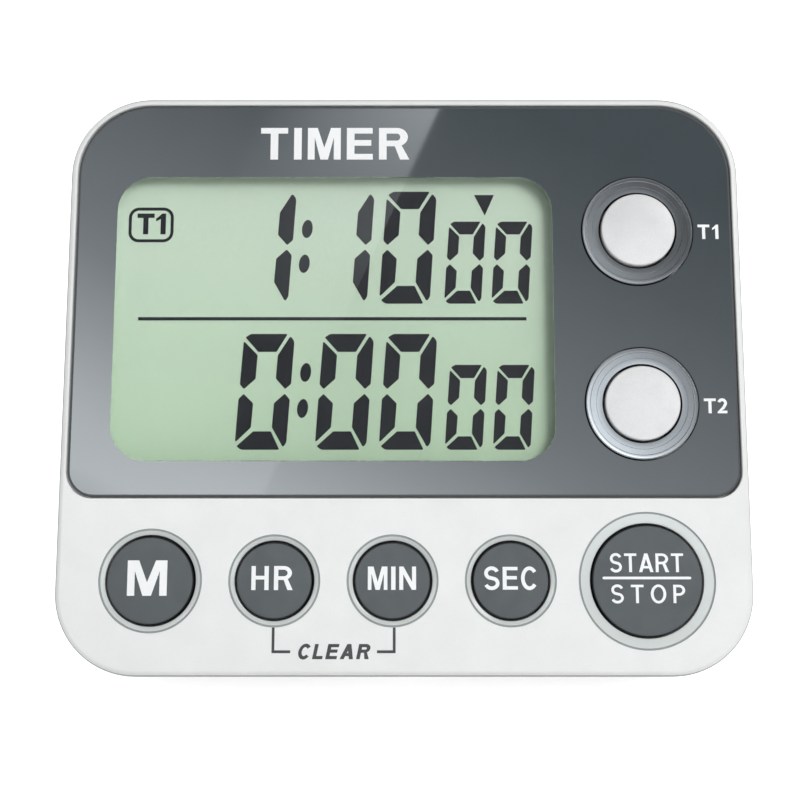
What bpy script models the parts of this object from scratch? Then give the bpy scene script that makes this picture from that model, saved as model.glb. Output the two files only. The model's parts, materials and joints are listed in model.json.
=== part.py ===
"""Two-channel laboratory timer: a flat digital timer that leans back on a folding stand.

Every piece is laid out in the face frame: x to the right, y up the face, z out of the face towards
the user, with its origin in the middle of the face. The empty case_frame carries that frame and
leans it back, so that the timer stands on its lower rear edge and on the foot of its stand.
"""

import math

import bmesh
import bpy
from mathutils import Matrix, Vector

MM = 0.001

# ---------------------------------------------------------------- driving dimensions
CASE_WIDTH = 96.0 * MM
CASE_HEIGHT = 82.2 * MM
CASE_DEPTH = 21.0 * MM
SPLIT_DEPTH = 10.0 * MM
CORNER_RADIUS = 11.4 * MM
WALL = 2.0 * MM
FRONT_EDGE_RADIUS = 0.9 * MM
FRONT_EDGE_SEGMENTS = 4
REAR_EDGE_RADIUS = 3.0 * MM
REAR_EDGE_SEGMENTS = 6
LEAN = math.radians(22.5)

FIT_GAP = 0.15 * MM
OVERCUT = 1.0 * MM
BURIED = 0.8 * MM
ROUND_STEPS = 24
SMALL_STEPS = 12
CORNER_STEPS = 6

# The clear lens and what lies behind it
LENS_MARGIN = 1.03 * MM
LENS_BOTTOM = -16.85 * MM
LENS_TOP_RADIUS = 10.4 * MM
LENS_BOTTOM_RADIUS = 3.75 * MM
LENS_FRONT = -0.2 * MM
LENS_BACK = -1.7 * MM
PRINT_FRONT = -1.8 * MM
PRINT_BACK = -2.0 * MM
DECK_FRONT = -2.1 * MM
DECK_BACK = -3.4 * MM
DECK_BOTTOM = -18.5 * MM
WINDOW_LOW = Vector((-41.0, -11.7, 0.0)) * MM
WINDOW_HIGH = Vector((21.15, 29.15, 0.0)) * MM
WINDOW_RADIUS = 5.0 * MM
DISPLAY_LOW = Vector((-42.6, -15.5, -5.7)) * MM
DISPLAY_HIGH = Vector((22.8, 30.8, -3.55)) * MM
DISPLAY_FRAME_WALL = 1.2 * MM
DISPLAY_FRAME_LIP = 2.6 * MM
DISPLAY_FRAME_BACK = -7.3 * MM
CONTACT_STRIP_WIDTH = 2.0 * MM

# Keys: place, radius of the hole and radius of the dish round it
KEY_ROW = -28.15 * MM
CHANNEL_X = 33.3 * MM
FACE_KEYS = {
    "m": (-34.8 * MM, 6.2 * MM, 7.1 * MM),
    "hr": (-17.8 * MM, 5.45 * MM, 6.3 * MM),
    "min": (-1.6 * MM, 5.45 * MM, 6.3 * MM),
    "sec": (14.6 * MM, 5.45 * MM, 6.3 * MM),
    "start_stop": (CHANNEL_X, 7.8 * MM, 9.4 * MM),
}
CHANNEL_KEYS = {"t1": 21.25 * MM, "t2": -3.65 * MM}
CHANNEL_CAP_RADIUS = 5.2 * MM
COLLAR_RADIUS = 7.85 * MM
COLLAR_BORE = 5.5 * MM
COLLAR_NECK_RADIUS = 6.2 * MM
KEY_GAP = 0.3 * MM
KEY_CROWN = 0.4 * MM
KEY_CROWN_DROP = 0.15 * MM
CHANNEL_CROWN = 1.1 * MM
CHANNEL_CROWN_DROP = 0.5 * MM
KEY_FLANGE = 0.8 * MM
KEY_FLANGE_FRONT = -2.3 * MM
CHANNEL_FLANGE_FRONT = -3.7 * MM
KEY_FLANGE_HEIGHT = 0.7 * MM
KEY_DISH_DEPTH = 0.35 * MM
PLUNGER_RADIUS = 2.6 * MM
PLUNGER_BACK = -6.85 * MM

# Circuit board and rubber mats
BOARD_FRONT = -7.9 * MM
BOARD_BACK = -9.1 * MM
BOARD_LEFT = -43.0 * MM
BOARD_RIGHT = 44.5 * MM
BOARD_BOTTOM = -32.8 * MM
BOARD_TOP = 8.0 * MM
BOARD_ARM_LEFT = 24.6 * MM
BOARD_ARM_TOP = 31.0 * MM
BOARD_SCREWS = [
    (-26.3 * MM, -20.2 * MM),
    (24.0 * MM, -20.2 * MM),
    (42.3 * MM, 8.8 * MM),
    (42.0 * MM, 28.4 * MM),
]
MAT_BACK = -7.75 * MM
MAT_FRONT = -7.0 * MM
MAT_COLLAR_FRONT = -5.6 * MM

# Screws
CASE_SCREWS = [
    (-39.6 * MM, 34.8 * MM),
    (39.6 * MM, 34.8 * MM),
    (-24.5 * MM, -35.6 * MM),
    (24.5 * MM, -35.6 * MM),
]
CASE_BOSS_RADIUS = 2.4 * MM
CASE_POST_RADIUS = 3.2 * MM
BOARD_BOSS_RADIUS = 2.2 * MM
SCREW_HEAD_SEAT = -13.0 * MM
SCREW_TIP = -4.6 * MM
SCREW_HOLE_END = -4.2 * MM

# Battery bay: an AAA cell lying across the case, under a snap-in door
CELL_RADIUS = 5.25 * MM
CELL_LENGTH = 44.5 * MM
CELL_NUB = 1.0 * MM
CELL_RIGHT = 20.4 * MM
CELL_Y = 22.0 * MM
CELL_Z = -14.0 * MM
BAY_LOW = Vector((-31.0, 15.9, -8.5)) * MM
BAY_HIGH = Vector((21.0, 28.1, 0.0)) * MM
BAY_WALL = 1.0 * MM
DOOR_LOW = Vector((-33.5, 14.0, 0.0)) * MM
DOOR_HIGH = Vector((23.5, 30.0, 0.0)) * MM
DOOR_RADIUS = 1.6 * MM
DOOR_THICKNESS = 1.2 * MM

# Stand, hinged on a steel pin across a recess in the rear case
STAND_WIDTH = 33.0 * MM
STAND_THICKNESS = 2.6 * MM
STAND_OPEN = math.radians(37.0)
STAND_HEEL = 3.0 * MM
STAND_PANEL_DEPTH = 0.8 * MM
STAND_BARREL_RADIUS = 1.7 * MM
PIN_Y = 0.0
PIN_Z = -18.9 * MM
PIN_RADIUS = 0.8 * MM
PIN_BORE = 0.9 * MM
PIN_LENGTH = 39.0 * MM
RECESS_HALF_WIDTH = 17.0 * MM
RECESS_LOW_Y = -39.7 * MM
RECESS_HIGH_Y = 3.7 * MM
RECESS_FLOOR = -15.95 * MM
RECESS_WALL = 1.5 * MM
RECESS_SIDE = 3.2 * MM
FINGER_NOTCH_HALF_WIDTH = 7.0 * MM

# Magnets and sounder
MAGNET_RADIUS = 6.0 * MM
MAGNET_THICKNESS = 3.0 * MM
MAGNET_PLACES = {"left": (-32.5 * MM, -19.0 * MM), "right": (32.5 * MM, -19.0 * MM)}
MAGNET_PROUD = 0.2 * MM
SOUNDER_PLACE = (33.0 * MM, 20.5 * MM)
SOUNDER_RADIUS = 9.0 * MM
SOUND_HOLE_RADIUS = 0.8 * MM
SOUND_HOLE_PITCH = 3.2 * MM

# ---------------------------------------------------------------- derived places
TOP = CASE_HEIGHT / 2
RIGHT = CASE_WIDTH / 2
REAR = -CASE_DEPTH
SPLIT = -SPLIT_DEPTH
REAR_INSIDE = REAR + WALL
LENS_HALF_WIDTH = RIGHT - LENS_MARGIN
LENS_TOP = TOP - LENS_MARGIN
BOARD_UNDER = BOARD_BACK - FIT_GAP

MATERIALS = {
    "white_plastic": ((0.80, 0.81, 0.80), 0.45, 0.0),
    "clear_lens": ((0.85, 0.90, 0.90), 0.05, 0.0),
    "lens_print": ((0.07, 0.08, 0.085), 0.5, 0.0),
    "dark_key": ((0.10, 0.11, 0.12), 0.45, 0.0),
    "silver_key": ((0.70, 0.70, 0.71), 0.35, 0.6),
    "collar": ((0.22, 0.24, 0.26), 0.25, 0.5),
    "display": ((0.50, 0.65, 0.48), 0.3, 0.0),
    "black_plastic": ((0.03, 0.03, 0.03), 0.5, 0.0),
    "rubber": ((0.35, 0.36, 0.37), 0.8, 0.0),
    "board": ((0.02, 0.18, 0.07), 0.4, 0.0),
    "epoxy": ((0.01, 0.01, 0.01), 0.35, 0.0),
    "steel": ((0.60, 0.60, 0.60), 0.3, 1.0),
    "brass": ((0.75, 0.58, 0.25), 0.3, 1.0),
    "ceramic": ((0.80, 0.78, 0.70), 0.5, 0.0),
    "ferrite": ((0.10, 0.10, 0.105), 0.6, 0.0),
    "cell": ((0.05, 0.12, 0.35), 0.35, 0.3),
    "wire_red": ((0.55, 0.02, 0.02), 0.5, 0.0),
    "wire_black": ((0.02, 0.02, 0.02), 0.5, 0.0),
}


# ---------------------------------------------------------------- scene helpers
def clear_scene():
    for obj in list(bpy.data.objects):
        bpy.data.objects.remove(obj)


def new_collection(name, hidden=False):
    collection = bpy.data.collections.new(name)
    collection.hide_render = hidden
    bpy.context.scene.collection.children.link(collection)
    return collection


def new_material(name):
    colour, roughness, metallic = MATERIALS[name]
    material = bpy.data.materials.new(name)
    material.use_nodes = True
    shader = material.node_tree.nodes["Principled BSDF"]
    shader.inputs["Base Color"].default_value = (*colour, 1.0)
    shader.inputs["Roughness"].default_value = roughness
    shader.inputs["Metallic"].default_value = metallic
    return material


clear_scene()
parts = new_collection("lab_timer")
cutters = new_collection("cutters", hidden=True)
materials = {name: new_material(name) for name in MATERIALS}


def new_empty(name, parent=None, location=(0, 0, 0), tilt=0.0):
    empty = bpy.data.objects.new(name, None)
    empty.empty_display_size = 5 * MM
    empty.location = location
    empty.rotation_euler.x = tilt
    empty.parent = parent
    parts.objects.link(empty)
    return empty


def lowest_point_of_case():
    """Height of the case's lowest facet below the face's middle, once the case leans back."""
    centre_y = -TOP + REAR_EDGE_RADIUS
    centre_z = REAR + REAR_EDGE_RADIUS
    facet = REAR_EDGE_RADIUS * math.cos(math.pi / 4 / REAR_EDGE_SEGMENTS)
    return centre_y * math.cos(LEAN) + centre_z * math.sin(LEAN) - facet


def depth_centre_of_case():
    """Distance, front to back, from the face's middle to the middle of the leaning case."""
    front = TOP - FRONT_EDGE_RADIUS
    foremost = -front * math.sin(LEAN) + FRONT_EDGE_RADIUS * math.cos(LEAN) - FRONT_EDGE_RADIUS
    rear = TOP - REAR_EDGE_RADIUS
    rearmost = rear * math.sin(LEAN) - (REAR + REAR_EDGE_RADIUS) * math.cos(LEAN) + REAR_EDGE_RADIUS
    return (foremost + rearmost) / 2


GROUND = lowest_point_of_case()
case_frame = new_empty(
    "case_frame",
    location=(0, -depth_centre_of_case(), -GROUND),
    tilt=math.pi / 2 - LEAN,
)


def link(obj, parent=None, collection=parts):
    obj.parent = parent or case_frame
    collection.objects.link(obj)
    return obj


def add_object(name, mesh, material, parent=None, location=(0, 0, 0), smooth=True):
    obj = bpy.data.objects.new(name, mesh)
    obj.location = location
    mesh.materials.append(materials[material])
    if smooth:
        mesh.shade_smooth()
        mesh.set_sharp_from_angle(angle=math.radians(35))
    return link(obj, parent)


def add_cutter(name, bm, parent=None):
    mesh = bpy.data.meshes.new(name)
    bmesh.ops.recalc_face_normals(bm, faces=bm.faces)
    bm.to_mesh(mesh)
    bm.free()
    obj = bpy.data.objects.new(name, mesh)
    obj.hide_render = True
    obj.display_type = "WIRE"
    return link(obj, parent, cutters)


def combine(obj, operation, other):
    modifier = obj.modifiers.new(f"{operation.lower()}_{other.name}", "BOOLEAN")
    modifier.operation = operation
    modifier.solver = "EXACT"
    modifier.object = other
    return obj


def to_object(name, bm, material, parent=None, location=(0, 0, 0)):
    mesh = bpy.data.meshes.new(name)
    bmesh.ops.recalc_face_normals(bm, faces=bm.faces)
    bm.to_mesh(mesh)
    bm.free()
    return add_object(name, mesh, material, parent, location)


# ---------------------------------------------------------------- shape helpers
def box(bm, low, high):
    """A plain box between two corners."""
    low, high = Vector(low), Vector(high)
    size = high - low
    matrix = Matrix.Translation((low + high) / 2) @ Matrix.Diagonal((*size, 1.0))
    return bmesh.ops.create_cube(bm, size=1.0, matrix=matrix)["verts"]


def edges_at(bm, verts, test):
    members = set(verts)
    return [e for e in bm.edges if members.issuperset(e.verts) and all(test(v.co) for v in e.verts)]


def rounded_box(low, high, radii, front_radius=0.0, rear_radius=0.0, edge_segments=3, steps=CORNER_STEPS):
    """A box whose four edges along z are rounded, radii being (top, bottom), and whose front and
    rear rims may be rounded too. Returns its bmesh."""
    bm = bmesh.new()
    low, high = Vector(low), Vector(high)
    box(bm, low, high)
    near = 0.01 * MM
    for y, radius in ((high.y, radii[0]), (low.y, radii[1])):
        edges = edges_at(bm, bm.verts, lambda co: abs(co.y - y) < near)
        upright = [e for e in edges if abs(e.verts[0].co.z - e.verts[1].co.z) > near]
        bmesh.ops.bevel(bm, geom=upright, offset=radius, segments=steps, affect="EDGES", profile=0.5)
    for z, radius in ((high.z, front_radius), (low.z, rear_radius)):
        if radius:
            rim = edges_at(bm, bm.verts, lambda co: abs(co.z - z) < near)
            bmesh.ops.bevel(
                bm, geom=rim, offset=radius, segments=edge_segments, affect="EDGES", profile=0.5
            )
    return bm


def cylinder(bm, centre, radius, low, high, steps=SMALL_STEPS, top_radius=None, along="Z"):
    """A cylinder or a cone from low to high along an axis, centred on the other two."""
    turn = {"Z": Matrix(), "X": Matrix.Rotation(math.pi / 2, 4, "Y")}[along]
    middle = (low + high) / 2
    x, y = centre
    place = Vector((x, y, middle)) if along == "Z" else Vector((middle, x, y))
    bmesh.ops.create_cone(
        bm,
        cap_ends=True,
        segments=steps,
        radius1=radius,
        radius2=radius if top_radius is None else top_radius,
        depth=high - low,
        matrix=Matrix.Translation(place) @ turn,
    )


def turned(name, profile, material, place=(0, 0, 0), steps=ROUND_STEPS, parent=None, closed=False):
    """A shape turned about z. The profile, (radius, z) pairs, runs down its outer side."""
    mesh = bpy.data.meshes.new(name)
    points = [(r, 0, z) for r, z in profile]
    links = [(i, i + 1) for i in range(len(points) - 1)]
    if closed:
        links.append((len(points) - 1, 0))
    mesh.from_pydata(points, links, [])
    obj = add_object(name, mesh, material, parent, place, smooth=False)
    screw = obj.modifiers.new("turn", "SCREW")
    screw.axis = "Z"
    screw.angle = math.tau
    screw.steps = steps
    screw.render_steps = steps
    screw.use_smooth_shade = True
    screw.use_merge_vertices = True
    screw.merge_threshold = 0.01 * MM
    return obj


def flat_outline(name, points, low, high, material):
    """A flat plate cut to a polygon, made from a filled curve and kept as a mesh so that it can be cut."""
    curve = bpy.data.curves.new(name, "CURVE")
    curve.dimensions = "2D"
    curve.fill_mode = "BOTH"
    curve.extrude = (high - low) / 2
    spline = curve.splines.new("POLY")
    spline.points.add(len(points) - 1)
    for point, (x, y) in zip(spline.points, points):
        point.co = (x, y, 0, 1)
    spline.use_cyclic_u = True
    guide = bpy.data.objects.new(name + "_outline", curve)
    parts.objects.link(guide)
    graph = bpy.context.evaluated_depsgraph_get()
    mesh = bpy.data.meshes.new_from_object(guide.evaluated_get(graph))
    bpy.data.objects.remove(guide)
    bm = bmesh.new()
    bm.from_mesh(mesh)
    bpy.data.meshes.remove(mesh)
    bmesh.ops.remove_doubles(bm, verts=bm.verts, dist=0.001 * MM)
    bmesh.ops.translate(bm, verts=bm.verts, vec=(0, 0, (low + high) / 2))
    return to_object(name, bm, material)


def wire(name, points, radius, material, parent=None):
    """A round wire along a smooth or straight run of points."""
    curve = bpy.data.curves.new(name, "CURVE")
    curve.dimensions = "3D"
    curve.bevel_depth = radius
    curve.bevel_resolution = 1
    curve.use_fill_caps = True
    spline = curve.splines.new("POLY")
    spline.points.add(len(points) - 1)
    for point, place in zip(spline.points, points):
        point.co = (*place, 1)
    obj = bpy.data.objects.new(name, curve)
    curve.materials.append(materials[material])
    return link(obj, parent)


def smooth_run(points, steps=5):
    """Points along a Catmull-Rom curve through the given ones."""
    points = [Vector(p) for p in points]
    ends = [2 * points[0] - points[1], *points, 2 * points[-1] - points[-2]]
    run = []
    for a, b, c, d in zip(ends, ends[1:], ends[2:], ends[3:]):
        for i in range(steps):
            t = i / steps
            square = (2 * a - 5 * b + 4 * c - d) * t**2
            cube = (3 * b - a - 3 * c + d) * t**3
            run.append(0.5 * (2 * b + (c - a) * t + square + cube))
    return [*run, points[-1]]


# ---------------------------------------------------------------- front case
def key_holes(bm):
    for x, hole, _ in FACE_KEYS.values():
        cylinder(bm, (x, KEY_ROW), hole, -WALL - OVERCUT, OVERCUT, ROUND_STEPS)


def channel_holes(bm, radius, low, high):
    for y in CHANNEL_KEYS.values():
        cylinder(bm, (CHANNEL_X, y), radius, low, high, ROUND_STEPS)


def key_dishes(bm):
    """The shallow cone round each key. It flares out above the face, so that it cuts cleanly."""
    for x, hole, dish in FACE_KEYS.values():
        rise = 0.2 * MM
        mouth = dish + rise * (dish - hole) / KEY_DISH_DEPTH
        cylinder(bm, (x, KEY_ROW), hole, -KEY_DISH_DEPTH, rise, ROUND_STEPS, top_radius=mouth)


def make_front_case():
    outer = rounded_box(
        (-RIGHT, -TOP, SPLIT),
        (RIGHT, TOP, 0),
        (CORNER_RADIUS, CORNER_RADIUS),
        front_radius=FRONT_EDGE_RADIUS,
        edge_segments=FRONT_EDGE_SEGMENTS,
    )
    case = to_object("front_case", outer, "white_plastic")
    inner_radius = CORNER_RADIUS - WALL
    inside = Vector((RIGHT - WALL, TOP - WALL, 0))
    cavity = rounded_box(
        (-inside.x, -inside.y, SPLIT - OVERCUT),
        (inside.x, inside.y, DECK_BACK),
        (inner_radius, inner_radius),
    )
    combine(case, "DIFFERENCE", add_cutter("cut_front_cavity", cavity))
    pocket = rounded_box(
        (-inside.x, -inside.y, DECK_BACK - OVERCUT),
        (inside.x, DECK_BOTTOM, -WALL),
        (0.5 * MM, inner_radius),
    )
    combine(case, "DIFFERENCE", add_cutter("cut_key_pocket", pocket))

    bosses = bmesh.new()
    for places, radius, end in (
        (CASE_SCREWS, CASE_BOSS_RADIUS, SPLIT),
        (BOARD_SCREWS, BOARD_BOSS_RADIUS, BOARD_FRONT + FIT_GAP),
    ):
        for x, y in places:
            ceiling = -WALL if y < DECK_BOTTOM else DECK_BACK
            cylinder(bosses, (x, y), radius, end, ceiling + BURIED)
    combine(case, "UNION", add_cutter("join_front_bosses", bosses))

    recess = rounded_box(
        (-LENS_HALF_WIDTH, LENS_BOTTOM, DECK_FRONT),
        (LENS_HALF_WIDTH, LENS_TOP, OVERCUT),
        (LENS_TOP_RADIUS, LENS_BOTTOM_RADIUS),
    )
    combine(case, "DIFFERENCE", add_cutter("cut_lens_recess", recess))

    edge = Vector((0.8, 0.8, 0)) * MM
    low, high = WINDOW_LOW - edge, WINDOW_HIGH + edge
    low.z, high.z = DECK_BACK - OVERCUT, DECK_FRONT + OVERCUT
    holes = rounded_box(low, high, (WINDOW_RADIUS,) * 2, steps=4)
    channel_holes(holes, COLLAR_NECK_RADIUS + FIT_GAP, low.z, high.z)
    key_holes(holes)
    for x, y in CASE_SCREWS:
        cylinder(holes, (x, y), 1.3 * MM, SPLIT - OVERCUT, SCREW_HOLE_END)
    for x, y in BOARD_SCREWS:
        cylinder(holes, (x, y), 1.05 * MM, BOARD_FRONT - OVERCUT, SCREW_HOLE_END)
    combine(case, "DIFFERENCE", add_cutter("cut_front_holes", holes))

    dishes = bmesh.new()
    key_dishes(dishes)
    combine(case, "DIFFERENCE", add_cutter("cut_key_dishes", dishes))


# ---------------------------------------------------------------- lens, print and display
def lens_plate(name, material, back, front):
    """A plate that fills the case's lens recess in outline."""
    side = LENS_HALF_WIDTH - FIT_GAP
    plate = rounded_box(
        (-side, LENS_BOTTOM + FIT_GAP, back),
        (side, LENS_TOP - FIT_GAP, front),
        (LENS_TOP_RADIUS, LENS_BOTTOM_RADIUS),
    )
    return to_object(name, plate, material)


def make_lens():
    lens = lens_plate("display_lens", "clear_lens", LENS_BACK, LENS_FRONT)
    holes = bmesh.new()
    channel_holes(holes, COLLAR_RADIUS + FIT_GAP, LENS_BACK - OVERCUT, LENS_FRONT + OVERCUT)
    combine(lens, "DIFFERENCE", add_cutter("cut_display_lens", holes))


def make_lens_print():
    """The dark printed layer behind the lens, with its clear window."""
    layer = lens_plate("lens_print", "lens_print", PRINT_BACK, PRINT_FRONT)
    low, high = WINDOW_LOW.copy(), WINDOW_HIGH.copy()
    low.z, high.z = PRINT_BACK - OVERCUT, PRINT_FRONT + OVERCUT
    holes = rounded_box(low, high, (WINDOW_RADIUS,) * 2, steps=5)
    channel_holes(holes, COLLAR_RADIUS + FIT_GAP, low.z, high.z)
    combine(layer, "DIFFERENCE", add_cutter("cut_lens_print", holes))


def make_display():
    glass = bmesh.new()
    box(glass, DISPLAY_LOW, DISPLAY_HIGH)
    to_object("lcd_glass", glass, "display")

    wall = Vector((DISPLAY_FRAME_WALL, DISPLAY_FRAME_WALL, 0))
    room = Vector((FIT_GAP, FIT_GAP, 0))
    low, high = DISPLAY_LOW - wall - room, DISPLAY_HIGH + wall + room
    low.z = DISPLAY_FRAME_BACK
    outer = bmesh.new()
    box(outer, low, high)
    frame = to_object("lcd_frame", outer, "black_plastic")
    seat = bmesh.new()
    box(seat, DISPLAY_LOW - room - Vector((0, 0, FIT_GAP)), DISPLAY_HIGH + room + Vector((0, 0, OVERCUT)))
    combine(frame, "DIFFERENCE", add_cutter("cut_lcd_seat", seat))
    opening = bmesh.new()
    lip = DISPLAY_FRAME_LIP
    box(
        opening,
        (DISPLAY_LOW.x + lip, DISPLAY_LOW.y, DISPLAY_FRAME_BACK - OVERCUT),
        (DISPLAY_HIGH.x - lip, DISPLAY_HIGH.y - lip, DISPLAY_HIGH.z - OVERCUT),
    )
    combine(frame, "DIFFERENCE", add_cutter("cut_lcd_opening", opening))

    strip = bmesh.new()
    start = DISPLAY_LOW.y + FIT_GAP
    box(
        strip,
        (DISPLAY_LOW.x + lip + FIT_GAP, start, BOARD_FRONT + FIT_GAP),
        (DISPLAY_HIGH.x - lip - FIT_GAP, start + CONTACT_STRIP_WIDTH, DISPLAY_LOW.z - FIT_GAP),
    )
    to_object("contact_strip", strip, "rubber")


# ---------------------------------------------------------------- keys
def cap_profile(radius, crown, drop, flange_front, stem_back):
    """Crowned top, rounded edge, straight skirt, retaining flange and a centre stem. The crown is a
    parabola that falls by drop at the edge's rounding."""
    edge = 0.35 * MM
    flange = radius + KEY_GAP + KEY_FLANGE
    flange_back = flange_front - KEY_FLANGE_HEIGHT
    top = [((radius - edge) * k / 3, crown - drop * (k / 3) ** 2) for k in range(4)]
    return [
        *top,
        (radius, crown - drop - edge),
        (radius, flange_front),
        (flange, flange_front),
        (flange, flange_back),
        (PLUNGER_RADIUS, flange_back),
        (PLUNGER_RADIUS, stem_back),
        (0, stem_back),
    ]


def plunger_profile(front):
    """Silicone plunger with a conductive pad at its foot."""
    neck = PLUNGER_RADIUS - 0.4 * MM
    return [
        (0, front),
        (PLUNGER_RADIUS, front),
        (PLUNGER_RADIUS, PLUNGER_BACK + 0.4 * MM),
        (neck, PLUNGER_BACK),
        (0, PLUNGER_BACK),
    ]


def make_keys():
    for name, (x, hole, _) in FACE_KEYS.items():
        place = (x, KEY_ROW, 0)
        stem = KEY_FLANGE_FRONT - KEY_FLANGE_HEIGHT - 0.1 * MM
        profile = cap_profile(hole - KEY_GAP, KEY_CROWN, KEY_CROWN_DROP, KEY_FLANGE_FRONT, stem)
        turned(f"key_{name}", profile, "dark_key", place)
        turned(f"plunger_{name}", plunger_profile(stem - FIT_GAP), "rubber", place, SMALL_STEPS)
    for name, y in CHANNEL_KEYS.items():
        place = (CHANNEL_X, y, 0)
        stem = CHANNEL_FLANGE_FRONT - KEY_FLANGE_HEIGHT - 0.1 * MM
        profile = cap_profile(
            CHANNEL_CAP_RADIUS, CHANNEL_CROWN, CHANNEL_CROWN_DROP, CHANNEL_FLANGE_FRONT, stem
        )
        turned(f"key_{name}", profile, "silver_key", place)
        turned(f"plunger_{name}", plunger_profile(stem - FIT_GAP), "rubber", place, SMALL_STEPS)


def make_collars():
    """Dished trim rings that line the two holes in the lens."""
    for name, y in CHANNEL_KEYS.items():
        profile = [
            (COLLAR_BORE, -0.9 * MM),
            (COLLAR_RADIUS - 0.7 * MM, 0.1 * MM),
            (COLLAR_RADIUS - 0.25 * MM, 0.1 * MM),
            (COLLAR_RADIUS, -0.1 * MM),
            (COLLAR_RADIUS, DECK_FRONT + FIT_GAP),
            (COLLAR_NECK_RADIUS, DECK_FRONT + FIT_GAP),
            (COLLAR_NECK_RADIUS, DECK_BACK),
            (COLLAR_BORE, DECK_BACK),
        ]
        turned(f"collar_{name}", profile, "collar", (CHANNEL_X, y, 0), closed=True)


def make_mat(name, low, high, places):
    """A silicone sheet with a raised, bored collar for each key's plunger."""
    sheet = rounded_box((*low, MAT_BACK), (*high, MAT_FRONT), (1.5 * MM, 1.5 * MM), steps=2)
    mat = to_object(name, sheet, "rubber")
    domes = bmesh.new()
    bores = bmesh.new()
    for place in places:
        base = PLUNGER_RADIUS + 2.0 * MM
        mouth = PLUNGER_RADIUS + 0.9 * MM
        cylinder(domes, place, base, MAT_FRONT - 0.3 * MM, MAT_COLLAR_FRONT, SMALL_STEPS, top_radius=mouth)
        cylinder(bores, place, PLUNGER_RADIUS + 0.35 * MM, MAT_BACK - OVERCUT, MAT_COLLAR_FRONT + OVERCUT)
    combine(mat, "UNION", add_cutter(f"join_{name}", domes))
    combine(mat, "DIFFERENCE", add_cutter(f"cut_{name}", bores))


def make_mats():
    row = [(x, KEY_ROW) for x, _, _ in FACE_KEYS.values()]
    make_mat("keypad_row_mat", (-41.0 * MM, -32.6 * MM), (39.0 * MM, -23.0 * MM), row)
    side = [(CHANNEL_X, y) for y in CHANNEL_KEYS.values()]
    reach = 5.4 * MM
    make_mat(
        "keypad_side_mat",
        (CHANNEL_X - reach, CHANNEL_KEYS["t2"] - reach),
        (CHANNEL_X + reach, CHANNEL_KEYS["t1"] + reach),
        side,
    )


# ---------------------------------------------------------------- circuit board
def make_board():
    outline = [
        (BOARD_LEFT, BOARD_BOTTOM),
        (BOARD_RIGHT, BOARD_BOTTOM),
        (BOARD_RIGHT, BOARD_ARM_TOP),
        (BOARD_ARM_LEFT, BOARD_ARM_TOP),
        (BOARD_ARM_LEFT, BOARD_TOP),
        (BOARD_LEFT, BOARD_TOP),
    ]
    board = flat_outline("circuit_board", outline, BOARD_BACK, BOARD_FRONT, "board")
    holes = bmesh.new()
    for x, y in BOARD_SCREWS:
        cylinder(holes, (x, y), 1.2 * MM, BOARD_BACK - OVERCUT, BOARD_FRONT + OVERCUT)
    combine(board, "DIFFERENCE", add_cutter("cut_board", holes))


def make_board_parts():
    """The chip under its epoxy drop, the clock crystal, two capacitors and two resistors."""
    low = BOARD_UNDER
    blob = [
        (0, low),
        (5.5 * MM, low),
        (4.6 * MM, low - 0.8 * MM),
        (2.4 * MM, low - 1.3 * MM),
        (0, low - 1.4 * MM),
    ]
    turned("controller_blob", blob, "epoxy", (-12 * MM, -8 * MM, 0), SMALL_STEPS)

    crystal = bmesh.new()
    cylinder(crystal, (-22.0 * MM, low - 1.05 * MM), 1.0 * MM, 2.0 * MM, 8.0 * MM, along="X")
    to_object("clock_crystal", crystal, "steel")

    for name, x, y in (("capacitor_supply", 10 * MM, -6 * MM), ("capacitor_driver", 17 * MM, -6 * MM)):
        can = [
            (0, low),
            (2.0 * MM, low),
            (2.0 * MM, low - 4.2 * MM),
            (1.6 * MM, low - 4.5 * MM),
            (0, low - 4.5 * MM),
        ]
        turned(name, can, "black_plastic", (x, y, 0), SMALL_STEPS)
    for name, x in (("resistor_reset", -30 * MM), ("resistor_sounder", 28 * MM)):
        chip = bmesh.new()
        box(chip, (x - 1.0 * MM, -14.6 * MM, low - 0.6 * MM), (x + 1.0 * MM, -13.4 * MM, low))
        to_object(name, chip, "epoxy")


# ---------------------------------------------------------------- rear case
def sound_holes(bm):
    x, y = SOUNDER_PLACE
    places = [(x, y)]
    for k in range(6):
        angle = math.tau * k / 6
        places.append((x + SOUND_HOLE_PITCH * math.cos(angle), y + SOUND_HOLE_PITCH * math.sin(angle)))
    for place in places:
        cylinder(bm, place, SOUND_HOLE_RADIUS, REAR - OVERCUT, REAR_INSIDE + OVERCUT, steps=8)


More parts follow.
